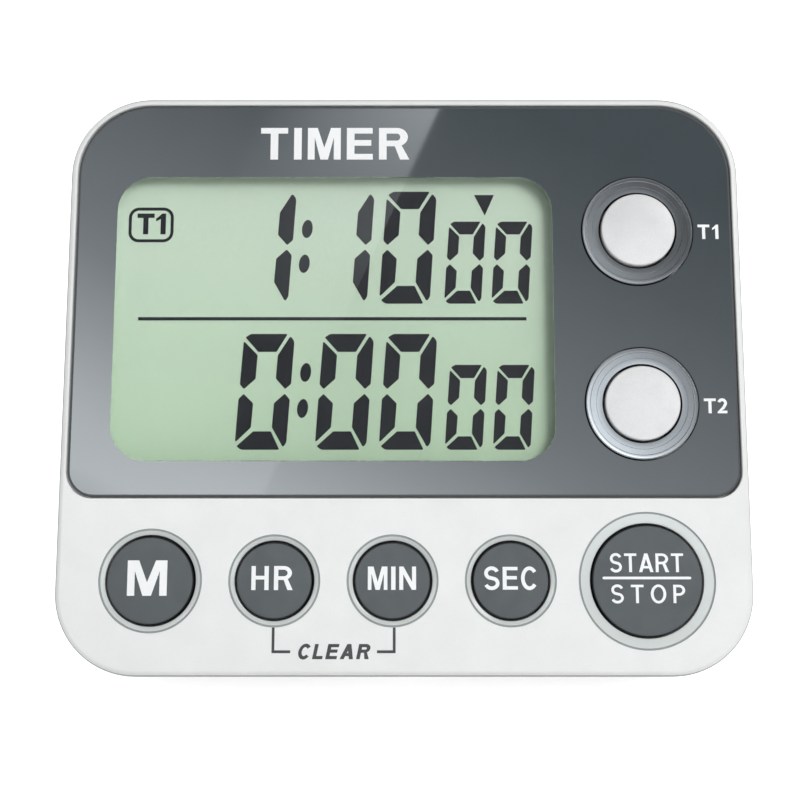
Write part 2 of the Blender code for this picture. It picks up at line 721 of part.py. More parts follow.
def make_rear_case():
    outer = rounded_box(
        (-RIGHT, -TOP, REAR),
        (RIGHT, TOP, SPLIT - FIT_GAP),
        (CORNER_RADIUS, CORNER_RADIUS),
        rear_radius=REAR_EDGE_RADIUS,
        edge_segments=REAR_EDGE_SEGMENTS,
    )
    case = to_object("rear_case", outer, "white_plastic")
    inside = Vector((RIGHT - WALL, TOP - WALL, 0))
    cavity = rounded_box(
        (-inside.x, -inside.y, REAR_INSIDE),
        (inside.x, inside.y, SPLIT + OVERCUT),
        (CORNER_RADIUS - WALL,) * 2,
        rear_radius=1.2 * MM,
        edge_segments=1,
    )
    combine(case, "DIFFERENCE", add_cutter("cut_rear_cavity", cavity))

    buried = REAR_INSIDE - BURIED
    blocks = bmesh.new()
    side = RECESS_HALF_WIDTH + RECESS_SIDE
    box(
        blocks,
        (-side, -TOP + WALL - BURIED, buried),
        (side, RECESS_HIGH_Y + RECESS_WALL, RECESS_FLOOR + RECESS_WALL),
    )
    box(
        blocks,
        (BAY_LOW.x - BAY_WALL, BAY_LOW.y - BAY_WALL, buried),
        (BAY_HIGH.x + BAY_WALL, BAY_HIGH.y + BAY_WALL, BAY_LOW.z + BAY_WALL),
    )
    for x, y in CASE_SCREWS:
        cylinder(blocks, (x, y), CASE_POST_RADIUS, buried, SPLIT - FIT_GAP)
    for x, y in MAGNET_PLACES.values():
        cup_top = REAR + MAGNET_THICKNESS + 1.0 * MM
        cylinder(blocks, (x, y), MAGNET_RADIUS + 1.3 * MM, buried, cup_top, steps=16)
    combine(case, "UNION", add_cutter("join_rear_blocks", blocks))

    door_seat = rounded_box(
        (DOOR_LOW.x - FIT_GAP, DOOR_LOW.y - FIT_GAP, REAR - OVERCUT),
        (DOOR_HIGH.x + FIT_GAP, DOOR_HIGH.y + FIT_GAP, REAR + DOOR_THICKNESS + FIT_GAP),
        (DOOR_RADIUS + FIT_GAP,) * 2,
        steps=3,
    )
    combine(case, "DIFFERENCE", add_cutter("cut_door_seat", door_seat))

    hollows = bmesh.new()
    below = REAR - OVERCUT
    box(hollows, (BAY_LOW.x, BAY_LOW.y, below), (BAY_HIGH.x, BAY_HIGH.y, BAY_LOW.z))
    side = RECESS_HALF_WIDTH
    box(hollows, (-side, RECESS_LOW_Y, below), (side, RECESS_HIGH_Y, RECESS_FLOOR))
    for x, y in CASE_SCREWS:
        cylinder(hollows, (x, y), 2.2 * MM, below, SCREW_HEAD_SEAT)
    for x, y in MAGNET_PLACES.values():
        cylinder(hollows, (x, y), MAGNET_RADIUS + FIT_GAP, below, REAR + MAGNET_THICKNESS, steps=20)
    sound_holes(hollows)
    combine(case, "DIFFERENCE", add_cutter("cut_rear_hollows", hollows))

    notch = bmesh.new()
    reach = FINGER_NOTCH_HALF_WIDTH
    box(notch, (-reach, -TOP - OVERCUT, below), (reach, RECESS_LOW_Y + OVERCUT, RECESS_FLOOR))
    combine(case, "DIFFERENCE", add_cutter("cut_finger_notch", notch))

    bores = bmesh.new()
    for x, y in CASE_SCREWS:
        cylinder(bores, (x, y), 1.35 * MM, SCREW_HEAD_SEAT - OVERCUT, SPLIT + OVERCUT)
    half = PIN_LENGTH / 2 + FIT_GAP
    cylinder(bores, (PIN_Y, PIN_Z), PIN_BORE, -half, half, along="X")
    slot_end = BAY_HIGH.x + BAY_WALL + OVERCUT
    box(bores, (BAY_HIGH.x - OVERCUT, 18.8 * MM, -10.6 * MM), (slot_end, 25.2 * MM, -9.6 * MM))
    lead_hole = BAY_LOW.x - BAY_WALL - OVERCUT
    cylinder(bores, (CELL_Y, CELL_Z), 0.8 * MM, lead_hole, BAY_LOW.x + OVERCUT, along="X")
    combine(case, "DIFFERENCE", add_cutter("cut_rear_bores", bores))


def make_battery_door():
    door = rounded_box(
        (DOOR_LOW.x, DOOR_LOW.y, REAR),
        (DOOR_HIGH.x, DOOR_HIGH.y, REAR + DOOR_THICKNESS),
        (DOOR_RADIUS, DOOR_RADIUS),
        steps=3,
    )
    obj = to_object("battery_door", door, "white_plastic")
    ribs = bmesh.new()
    for y in (BAY_LOW.y + 0.4 * MM, BAY_HIGH.y - 1.4 * MM):
        box(
            ribs,
            (BAY_LOW.x + 8 * MM, y, REAR + DOOR_THICKNESS - 0.5 * MM),
            (BAY_HIGH.x - 8 * MM, y + 1.0 * MM, REAR + DOOR_THICKNESS + 1.2 * MM),
        )
    combine(obj, "UNION", add_cutter("join_door_ribs", ribs))


def make_battery():
    left = CELL_RIGHT - CELL_LENGTH
    profile = [
        (0, CELL_LENGTH),
        (1.9 * MM, CELL_LENGTH),
        (1.9 * MM, CELL_LENGTH - CELL_NUB),
        (CELL_RADIUS - 0.4 * MM, CELL_LENGTH - CELL_NUB),
        (CELL_RADIUS, CELL_LENGTH - CELL_NUB - 0.4 * MM),
        (CELL_RADIUS, 0.3 * MM),
        (CELL_RADIUS - 0.4 * MM, 0),
        (0, 0),
    ]
    cell = turned("battery_cell", profile, "cell", (left, CELL_Y, CELL_Z), 16)
    cell.rotation_euler.y = math.pi / 2


def make_contacts():
    plate = bmesh.new()
    x = CELL_RIGHT + FIT_GAP
    box(plate, (x, 18.0 * MM, -18.4 * MM), (x + 0.3 * MM, 26.0 * MM, -9.2 * MM))
    contact = to_object("battery_plate", plate, "steel")
    tab = bmesh.new()
    tab_end = BAY_HIGH.x + BAY_WALL + 1.6 * MM
    box(tab, (x + 0.1 * MM, 19.2 * MM, -10.2 * MM), (tab_end, 24.8 * MM, -9.9 * MM))
    combine(contact, "UNION", add_cutter("join_plate_tab", tab))

    wire_radius = 0.35 * MM
    foot = BAY_LOW.x + wire_radius + FIT_GAP
    tip = CELL_RIGHT - CELL_LENGTH - wire_radius - FIT_GAP
    turns, per_turn = 3.5, 10
    count = round(turns * per_turn)
    points = [(foot - BAY_WALL - 2.2 * MM, CELL_Y, CELL_Z), (foot, CELL_Y, CELL_Z)]
    for k in range(count + 1):
        share = k / count
        radius = (4.2 - 1.9 * share) * MM
        angle = math.tau * turns * share
        along = foot + share * (tip - foot)
        points.append((along, CELL_Y + radius * math.cos(angle), CELL_Z + radius * math.sin(angle)))
    wire("battery_spring", points, wire_radius, "steel")


def make_wires():
    """Leads from the battery contacts and from the sounder to pads on the back of the board."""
    pad = (BOARD_UNDER - 0.5 * MM) / MM
    radius = 0.45 * MM
    battery_red = [(24.2, 22.0, -10.7), (26.2, 18.0, -11.0), (26.5, 8.0, -10.4), (26.5, 3.0, pad)]
    battery_black = [(-34.2, 22.0, -13.3), (-36.5, 15.0, -13.4), (-36.8, 7.0, -11.2), (-36.5, 2.0, pad)]
    sounder_red = [(33.0, 22.5, -16.2), (34.0, 13.5, -14.0), (33.0, 4.0, -11.2), (33.0, -1.0, pad)]
    sounder_black = [(40.4, 20.5, -16.4), (39.6, 12.5, -14.0), (38.0, 4.0, -11.2), (38.0, -1.0, pad)]
    for name, material, points in (
        ("battery_lead_red", "wire_red", battery_red),
        ("battery_lead_black", "wire_black", battery_black),
        ("sounder_lead_red", "wire_red", sounder_red),
        ("sounder_lead_black", "wire_black", sounder_black),
    ):
        wire(name, smooth_run([Vector(point) * MM for point in points], steps=4), radius, material)


def make_sounder():
    base = REAR_INSIDE + FIT_GAP
    x, y = SOUNDER_PLACE
    seat = base + 0.9 * MM
    ring = [
        (SOUNDER_RADIUS - 1.0 * MM, seat),
        (SOUNDER_RADIUS + 0.3 * MM, seat),
        (SOUNDER_RADIUS + 0.3 * MM, base),
        (SOUNDER_RADIUS - 1.0 * MM, base),
    ]
    turned("sounder_gasket", ring, "black_plastic", (x, y, 0), ROUND_STEPS, closed=True)
    plate = bmesh.new()
    cylinder(plate, (0, 0), SOUNDER_RADIUS, seat + FIT_GAP, seat + FIT_GAP + 0.3 * MM, ROUND_STEPS)
    to_object("sounder_plate", plate, "brass", location=(x, y, 0))
    crystal = bmesh.new()
    start = seat + 2 * FIT_GAP + 0.3 * MM
    cylinder(crystal, (0, 0), 6.2 * MM, start, start + 0.3 * MM, ROUND_STEPS)
    to_object("sounder_crystal", crystal, "ceramic", location=(x, y, 0))


def make_magnets():
    for side, (x, y) in MAGNET_PLACES.items():
        disc = bmesh.new()
        rear = REAR - MAGNET_PROUD
        cylinder(disc, (0, 0), MAGNET_RADIUS, rear, rear + MAGNET_THICKNESS, steps=20)
        to_object(f"magnet_{side}", disc, "ferrite", location=(x, y, 0))


# ---------------------------------------------------------------- stand
def make_stand():
    hinge = new_empty("stand_hinge", case_frame, (0, PIN_Y, PIN_Z), STAND_OPEN)
    half = STAND_WIDTH / 2
    drop = PIN_Y * math.cos(LEAN) + PIN_Z * math.sin(LEAN) - GROUND
    reach = drop / math.cos(STAND_OPEN - LEAN)
    slope = math.tan(STAND_OPEN - LEAN) * STAND_THICKNESS / 2
    thick = STAND_THICKNESS / 2
    # The foot is cut level with the bench, so the leg's two faces end at different lengths.
    leg = rounded_box((-half, -reach - slope, -thick), (half, STAND_HEEL, thick), (0.5 * MM, 4.0 * MM))
    stand = to_object("stand", leg, "white_plastic", hinge)
    barrel = bmesh.new()
    cylinder(barrel, (0, 0), STAND_BARREL_RADIUS, -half, half, along="X")
    combine(stand, "UNION", add_cutter("join_stand_barrel", barrel, hinge))
    cuts = bmesh.new()
    cylinder(cuts, (0, 0), PIN_BORE, -half - OVERCUT, half + OVERCUT, along="X")
    panel = half - 4.0 * MM
    box(cuts, (-panel, -reach + 7.0 * MM, -thick - OVERCUT), (panel, -6.0 * MM, -thick + STAND_PANEL_DEPTH))
    combine(stand, "DIFFERENCE", add_cutter("cut_stand", cuts, hinge))
    bench = bmesh.new()
    deep = 20 * MM
    verts = box(bench, (-RIGHT, -deep, -deep), (RIGHT, 0, deep))
    turn = Matrix.Rotation(LEAN - STAND_OPEN, 4, "X")
    bmesh.ops.transform(bench, matrix=Matrix.Translation((0, -reach, 0)) @ turn, verts=verts)
    combine(stand, "DIFFERENCE", add_cutter("cut_stand_foot", bench, hinge))

    pin = bmesh.new()
    cylinder(pin, (PIN_Y, PIN_Z), PIN_RADIUS, -PIN_LENGTH / 2, PIN_LENGTH / 2, along="X")
    to_object("stand_pin", pin, "steel")


# ---------------------------------------------------------------- screws
def screw_profile(seat, tip, head_radius, head_height, shank_radius):
    """Pan head below its seat, straight shank and a short point towards the face."""
    return [
        (0, tip),
        (shank_radius * 0.5, tip),
        (shank_radius, tip - 1.2 * MM),
        (shank_radius, seat),
        (head_radius, seat),
        (head_radius, seat - head_height * 0.6),
        (head_radius * 0.7, seat - head_height),
        (0, seat - head_height),
    ]


def make_screws():
    seat = SCREW_HEAD_SEAT - FIT_GAP
    for number, (x, y) in enumerate(CASE_SCREWS, start=1):
        profile = screw_profile(seat, SCREW_TIP, 1.95 * MM, 1.4 * MM, 1.05 * MM)
        turned(f"case_screw_{number}", profile, "steel", (x, y, 0), SMALL_STEPS)
    for number, (x, y) in enumerate(BOARD_SCREWS, start=1):
        profile = screw_profile(BOARD_UNDER, SCREW_TIP, 1.7 * MM, 1.0 * MM, 0.85 * MM)
        turned(f"board_screw_{number}", profile, "steel", (x, y, 0), SMALL_STEPS)


make_front_case()
make_lens()
make_lens_print()
make_display()
make_keys()
make_collars()
make_mats()
make_board()
make_board_parts()
make_rear_case()
make_battery_door()
make_battery()
make_contacts()
make_wires()
make_sounder()
make_magnets()
make_stand()
make_screws()
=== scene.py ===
"""Looks of the lab timer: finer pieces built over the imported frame, their materials, light and camera.

Shapes are laid out in millimetres in the face frame: x to the right, y up the face, z out of the
face, with the origin in the middle of the face. FACE carries that frame into the row frame.
"""

import json
import math

import bmesh
import bpy
from mathutils import Matrix, Vector
from mathutils.geometry import tessellate_polygon


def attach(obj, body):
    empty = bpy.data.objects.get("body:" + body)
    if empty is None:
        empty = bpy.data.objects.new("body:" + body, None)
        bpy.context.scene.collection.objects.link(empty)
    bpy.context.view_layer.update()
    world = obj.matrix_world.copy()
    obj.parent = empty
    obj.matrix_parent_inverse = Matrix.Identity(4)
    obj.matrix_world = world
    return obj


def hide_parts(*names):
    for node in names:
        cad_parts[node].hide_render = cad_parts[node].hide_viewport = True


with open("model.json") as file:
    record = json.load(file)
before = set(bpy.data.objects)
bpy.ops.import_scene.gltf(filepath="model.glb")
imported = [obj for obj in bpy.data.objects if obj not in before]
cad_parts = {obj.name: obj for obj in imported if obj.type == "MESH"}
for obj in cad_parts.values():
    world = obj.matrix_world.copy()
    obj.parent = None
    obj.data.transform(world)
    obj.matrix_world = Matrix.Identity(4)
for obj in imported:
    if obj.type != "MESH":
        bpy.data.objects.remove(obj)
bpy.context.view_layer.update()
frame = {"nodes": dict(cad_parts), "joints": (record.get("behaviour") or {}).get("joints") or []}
scene = bpy.context.scene
nodes = frame["nodes"]

MM = 0.001
TINY = 0.02  # the least radius of a rounded corner
MELT = 0.0005  # points closer than this are one point

# ---- face frame
INWARD = Vector(next(j["axis"] for j in frame["joints"] if j["name"] == "m_press"))
NORMAL = -INWARD.normalized()
ACROSS = Vector((1, 0, 0))
UP = NORMAL.cross(ACROSS)
TILT = Matrix((ACROSS, UP, NORMAL)).transposed()


def face_frame():
    """The matrix from face millimetres to the row frame, with its origin in the middle of the face."""
    points = [v.co for v in nodes["front_case"].data.vertices]
    heights = [p.dot(UP) for p in points]
    front = max(p.dot(NORMAL) for p in points)
    origin = NORMAL * front + UP * (min(heights) + max(heights)) / 2
    return Matrix.Translation(origin) @ TILT.to_4x4() @ Matrix.Scale(MM, 4)


FACE = face_frame()
TO_FACE = FACE.inverted()


def local_box(node):
    """(lowest corner, highest corner) of a CAD node in face millimetres."""
    points = [TO_FACE @ v.co for v in nodes[node].data.vertices]
    columns = list(zip(*points))
    return Vector(map(min, columns)), Vector(map(max, columns))


def middle(node):
    low, high = local_box(node)
    return (low + high) / 2


# ---- sizes, in face millimetres
CASE_LOW, CASE_HIGH = local_box("front_case")
REAR_LOW, REAR_HIGH = local_box("rear_case")
LENS_LOW, LENS_HIGH = local_box("display_lens")
GLASS_LOW, GLASS_HIGH = local_box("lcd_glass")
CORNER = 11.4
WALL = 2.0
FRONT_EDGE, REAR_EDGE, SPLIT_EDGE = 0.9, 3.0, 0.12
FIT = 0.15  # gap between neighbours
OVERCUT = 1.0  # how far a cutter runs past what it cuts
BURIED = 0.8  # how far a block runs into the wall it stands on
LENS_RADII = (10.4, 3.75)
DECK_FRONT, DECK_BACK, DECK_BOTTOM = -2.1, -3.4, -18.5
PRINT_BACK, PRINT_FRONT = -2.0, -1.8
# Where the camera stands and what it looks at
EYE = Vector((0.0, -26.03, 162.7))
AIM = Vector((0.0, -3.16, 0.0))
WINDOW_LOW, WINDOW_HIGH, WINDOW_RADIUS = Vector((-41.08, -11.7)), Vector((21.17, 29.23)), 5.0
# Radius of the hole and of the dish round each dark key
KEY_HOLES = {
    "m": (6.2, 7.1),
    "hr": (5.45, 6.3),
    "min": (5.45, 6.3),
    "sec": (5.45, 6.3),
    "start_stop": (7.8, 9.4),
}
CHANNELS = ("t1", "t2")
COLLAR_RADIUS, COLLAR_NECK, COLLAR_BORE = 7.85, 6.2, 5.5
KEY_CROWN, KEY_DROP = 0.4, 0.15
CHANNEL_CROWN, CHANNEL_DROP = 1.1, 0.4
CAP_GAP, CAP_EDGE = 0.3, 0.22
GROOVE = 0.24
BOARD_FRONT = -7.9
PILOT_END = -4.2  # where the screws' holes end under the face
REAR_INSIDE = REAR_LOW.z + WALL

CASE_SCREWS = [middle(f"case_screw_{n}").xy for n in range(1, 5)]
BOARD_SCREWS = [middle(f"board_screw_{n}").xy for n in range(1, 5)]
MAGNETS = {side: middle(f"magnet_{side}").xy for side in ("left", "right")}
KEY_PLACES = {name: middle(f"key_{name}").xy for name in (*KEY_HOLES, *CHANNELS)}
CHANNEL_PLACES = [KEY_PLACES[name] for name in CHANNELS]
SOUNDER = middle("sounder_plate").xy

# How finely curves are cut: in points, and for lettering on a crown in millimetres
ROUND = 96
CORNER_STEPS = 20
FILLET_STEPS = 4
LIFT_GRID = 0.8


# ---- mesh helpers
def polar(radius, degrees):
    angle = math.radians(degrees)
    return Vector((radius * math.cos(angle), radius * math.sin(angle)))


def arc(centre, radii, start, end, steps):
    """Points along an elliptical arc, in degrees."""
    points = []
    for k in range(steps + 1):
        angle = math.radians(start + (end - start) * k / steps)
        points.append((centre[0] + radii[0] * math.cos(angle), centre[1] + radii[1] * math.sin(angle)))
    return points


def rect_loop(low, high, radii, inset=0.0, steps=CORNER_STEPS):
    """Points round a rectangle with rounded corners, radii being (top, bottom), drawn in by inset."""
    top, bottom = (max(r - inset, TINY) for r in radii)
    x0, y0, x1, y1 = low[0] + inset, low[1] + inset, high[0] - inset, high[1] - inset
    corners = [(x1 - top, y1 - top), (x0 + top, y1 - top)]
    corners += [(x0 + bottom, y0 + bottom), (x1 - bottom, y0 + bottom)]
    loop = []
    for quarter, (centre, radius) in enumerate(zip(corners, (top, top, bottom, bottom))):
        loop += arc(centre, (radius, radius), 90 * quarter, 90 * quarter + 90, steps)
    return loop


def loft(bm, loops):
    """Quads between loops of 3-D points with one count, capped at both ends."""
    rings = [[bm.verts.new(p) for p in loop] for loop in loops]
    for a, b in zip(rings, rings[1:]):
        for k in range(len(a)):
            n = (k + 1) % len(a)
            bm.faces.new((a[k], a[n], b[n], b[k]))
    bm.faces.new(reversed(rings[0]))
    bm.faces.new(rings[-1])
    return bm


def plate(low, high, radii, profile, steps=CORNER_STEPS, bm=None):
    """A rounded rectangle carried along z: the profile is a list of (inset, z), from the back."""
    loops = []
    for inset, z in profile:
        loops.append([(x, y, z) for x, y in rect_loop(low, high, radii, inset, steps)])
    return loft(bm or bmesh.new(), loops)


def back_edge(radius, back, steps):
    """(inset, z) pairs of a rounded edge at the back of a side."""
    return arc((radius, back + radius), (radius, radius), 270, 180, steps)


def front_edge(radius, front, steps):
    """The same at its front."""
    return arc((radius, front - radius), (radius, radius), 180, 90, steps)


def straight(low, high):
    """(inset, z) pairs of a straight side."""
    return [(0, low), (0, high)]


def lathe(bm, profile, place=(0, 0), steps=ROUND, cyclic=False, turn=None):
    """A shape turned about z through place. The profile is a list of (radius, z), closed if cyclic."""
    rings = []
    for radius, z in profile:
        around = [polar(radius, 360 * k / steps) for k in range(steps if radius else 1)]
        rings.append([bm.verts.new((place[0] + x, place[1] + y, z)) for x, y in around])
    pairs = list(zip(rings, rings[1:]))
    if cyclic:
        pairs.append((rings[-1], rings[0]))
    for a, b in pairs:
        for k in range(steps):
            n = (k + 1) % steps
            if len(a) == 1:
                bm.faces.new((a[0], b[n], b[k]))
            elif len(b) == 1:
                bm.faces.new((a[k], a[n], b[0]))
            else:
                bm.faces.new((a[k], a[n], b[n], b[k]))
    if turn:
        bmesh.ops.transform(bm, matrix=turn, verts=[v for ring in rings for v in ring])
    return bm


def filleted(points):
    """A 2-D line with some corners rounded. Each point is (x, y) or (x, y, radius)."""
    line = []
    for k, point in enumerate(points):
        x, y, radius = (*point, 0.0)[:3]
        if not radius:
            line.append((x, y))
            continue
        here, before, after = (Vector(points[n % len(points)][:2]) for n in (k, k - 1, k + 1))
        a, b = (before - here).normalized(), (after - here).normalized()
        half = a.angle(b) / 2
        longest = min((before - here).length, (after - here).length) * 0.49
        reach = min(radius / math.tan(half), longest)
        size = reach * math.tan(half)
        centre = here + (a + b).normalized() * (size / math.sin(half))
        start, end = here + a * reach - centre, here + b * reach - centre
        for s in range(FILLET_STEPS + 1):
            line.append(tuple(centre + start.lerp(end, s / FILLET_STEPS).normalized() * size))
    return line


def box(bm, low, high):
    low, high = Vector(low), Vector(high)
    matrix = Matrix.Translation((low + high) / 2) @ Matrix.Diagonal((*(high - low), 1.0))
    bmesh.ops.create_cube(bm, size=1.0, matrix=matrix)
    return bm


def rod(bm, centre, radius, low, high, steps=48, along="Z"):
    """A cylinder along z, or along x with its centre given as (y, z)."""
    profile = [(0, low), (radius, low), (radius, high), (0, high)]
    if along == "Z":
        return lathe(bm, profile, centre, steps)
    turn = Matrix.Translation((0, *centre)) @ Matrix.Rotation(math.pi / 2, 4, "Y")
    return lathe(bm, profile, steps=steps, turn=turn)


def rods(bm, places, radius, low, high, steps=48):
    for place in places:
        rod(bm, place, radius, low, high, steps)


def as_mesh(name, bm):
    """The bmesh as a mesh. The bmesh is used up."""
    mesh = bpy.data.meshes.new(name)
    bm.to_mesh(mesh)
    bm.free()
    return mesh


def as_object(name, data):
    obj = bpy.data.objects.new(name, data)
    scene.collection.objects.link(obj)
    return obj


def boolean(bm, tool, operation="DIFFERENCE"):
    """Cuts one bmesh from another, or joins it on. Both are used up."""
    pair = []
    for part in (bm, tool):
        bmesh.ops.recalc_face_normals(part, faces=part.faces)
        pair.append(as_object("boolean", as_mesh("boolean", part)))
    modifier = pair[0].modifiers.new("boolean", "BOOLEAN")
    modifier.operation = operation
    modifier.solver = "EXACT"
    modifier.object = pair[1]
    made = bmesh.new()
    made.from_object(pair[0], bpy.context.evaluated_depsgraph_get())
    for obj in pair:
        mesh = obj.data
        bpy.data.objects.remove(obj)
        bpy.data.meshes.remove(mesh)
    return made


def flat_shape(bm, loops, span, lift=None):
    """A thin closed shape from outlines, the first being the outer one and the others its holes. With
    lift, a function of x and y, it is cut finely and follows a curved surface."""
    low, high = span
    part = bmesh.new()
    flat = [point for loop in loops for point in loop]
    verts = [part.verts.new((x, y, 0)) for x, y in flat]
    outlines = [[Vector((x, y, 0)) for x, y in loop] for loop in loops]
    for triangle in tessellate_polygon(outlines):
        part.faces.new([verts[i] for i in triangle])
    if lift:
        for axis in (0, 1):
            values = [p[axis] for p in flat]
            place = math.ceil(min(values) / LIFT_GRID) * LIFT_GRID
            while place < max(values):
                normal = Vector((1 - axis, axis, 0))
                geometry = part.verts[:] + part.edges[:] + part.faces[:]
                bmesh.ops.bisect_plane(part, geom=geometry, plane_co=normal * place, plane_no=normal)
                place += LIFT_GRID
    made = bmesh.ops.extrude_face_region(part, geom=part.faces[:])
    raised = {v for v in made["geom"] if isinstance(v, bmesh.types.BMVert)}
    for v in part.verts:
        base = lift(v.co.x, v.co.y) if lift else 0.0
        v.co.z = base + (high if v in raised else low)
    bmesh.ops.recalc_face_normals(part, faces=part.faces)
    mesh = as_mesh("flat", part)
    bm.from_mesh(mesh)
    bpy.data.meshes.remove(mesh)


def paint(bm, choose):
    """Numbers each face's finish by choose, a function of the face's middle and normal."""
    bm.normal_update()
    for face in bm.faces:
        face.material_index = int(choose(face.calc_center_median(), face.normal))


def piece(name, bm, finishes, body, replaces=(), matrix=FACE, sharp=32, weighted=True):
    """Makes the finished object, rides it on its body and hides the CAD parts it stands for."""
    bmesh.ops.remove_doubles(bm, verts=bm.verts, dist=MELT)
    bmesh.ops.recalc_face_normals(bm, faces=bm.faces)
    bmesh.ops.transform(bm, matrix=matrix, verts=bm.verts)
    for v in bm.verts:
        v.co.z = max(v.co.z, 0.0)
    mesh = as_mesh(name, bm)
    for finish in finishes:
        mesh.materials.append(FINISH[finish])
    mesh.shade_smooth()
    mesh.set_sharp_from_angle(angle=math.radians(sharp))
    obj = as_object(name, mesh)
    if weighted:
        modifier = obj.modifiers.new("weighted", "WEIGHTED_NORMAL")
        modifier.keep_sharp = True
        modifier.weight = 100
    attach(obj, body)
    if replaces:
        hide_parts(*replaces)
    return obj


def marks(name, bm, finish, body):
    """A piece of thin flat shapes, such as a printed word."""
    return piece(name, bm, [finish], body, weighted=False)


# ---- materials
def grey(level):
    return (level,) * 3


class Nodes:
    """A short way to write a material's nodes."""

    def __init__(self, name):
        self.material = bpy.data.materials.new(name)
        self.material.use_nodes = True
        self.tree = self.material.node_tree
        self.shader = self.tree.nodes["Principled BSDF"]
        self.coordinates = self.tree.nodes.new("ShaderNodeTexCoord").outputs["Object"]

    def put(self, node, key, value):
        socket = node.inputs[int(key)] if key.isdigit() else node.inputs[key]
        if isinstance(value, bpy.types.NodeSocket):
            self.tree.links.new(value, socket)
        else:
            socket.default_value = value

    def add(self, kind, **inputs):
        node = self.tree.nodes.new(kind)
        for key, value in inputs.items():
            self.put(node, key.replace("_", " "), value)
        return node

    def set(self, **inputs):
        for key, value in inputs.items():
            self.put(self.shader, key.replace("_", " "), value)

    def noise(self, scale, detail=2.0, roughness=0.5):
        node = self.add("ShaderNodeTexNoise", Scale=scale, Detail=detail, Roughness=roughness)
        self.put(node, "Vector", self.coordinates)
        return node.outputs["Fac"]

    def spread(self, value, low, high, start=0.3, end=0.7):
        """The value carried from the range start to end onto the range low to high."""
        ends = {"From_Min": start, "From_Max": end, "To_Min": low, "To_Max": high}
        return self.add("ShaderNodeMapRange", Value=value, **ends).outputs["Result"]

    def ramp(self, value, stops):
        node = self.add("ShaderNodeValToRGB", Fac=value)
        elements = node.color_ramp.elements
        while len(elements) < len(stops):
            elements.new(1.0)
        for element, (place, colour) in zip(elements, stops):
            element.position = place
            element.color = (*colour, 1.0)
        return node.outputs["Color"]

    def bump(self, value, strength, distance):
        node = self.add("ShaderNodeBump", Strength=strength, Distance=distance, Height=value)
        return node.outputs["Normal"]

    def multiply(self, colour, factor):
        node = self.add("ShaderNodeMix")
        node.data_type = "RGBA"
        node.blend_type = "MULTIPLY"
        for key, value in (("0", 1.0), ("6", colour), ("7", factor)):
            self.put(node, key, value)
        return node.outputs[2]

    def flecked(self, base, value, dark):
        """The base with flecks of a darker share where the value is low."""
        return self.multiply(base, self.ramp(value, [(0.3, dark), (0.7, grey(1.0))]))

    def maths(self, operation, first, second):
        node = self.add("ShaderNodeMath")
        node.operation = operation
        self.put(node, "0", first)
        self.put(node, "1", second)
        return node.outputs[0]

    def dot(self, direction):
        node = self.add("ShaderNodeVectorMath")
        node.operation = "DOT_PRODUCT"
        self.put(node, "0", self.coordinates)
        self.put(node, "1", direction)
        return node.outputs["Value"]

    def along(self, direction, low, high):
        """How far a point is along a direction in the row frame, from 0 at low to 1 at high."""
        return self.spread(self.dot(direction), 0.0, 1.0, low, high)


def moulded(name, colour, roughness, grain, depth, vary, more=None, blotch=160.0):
    """Moulded plastic, rubber or metal: slight blotches of tone, uneven gloss and a fine grain."""
    m = Nodes(name)
    fine = m.noise(grain, 2.0, 0.6)
    dark, light = (tuple(min(c * share, 1.0) for c in colour) for share in (1 - vary, 1 + vary))
    base = m.ramp(m.noise(blotch, 3.0), [(0.3, dark), (0.7, light)])
    m.set(Base_Color=m.flecked(base, fine, grey(1 - vary)))
    m.set(Roughness=m.spread(m.noise(blotch * 3), roughness * 0.88, min(roughness * 1.12, 1.0)))
    m.set(Normal=m.bump(fine, depth, 0.00002), **(more or {}))
    return m.material


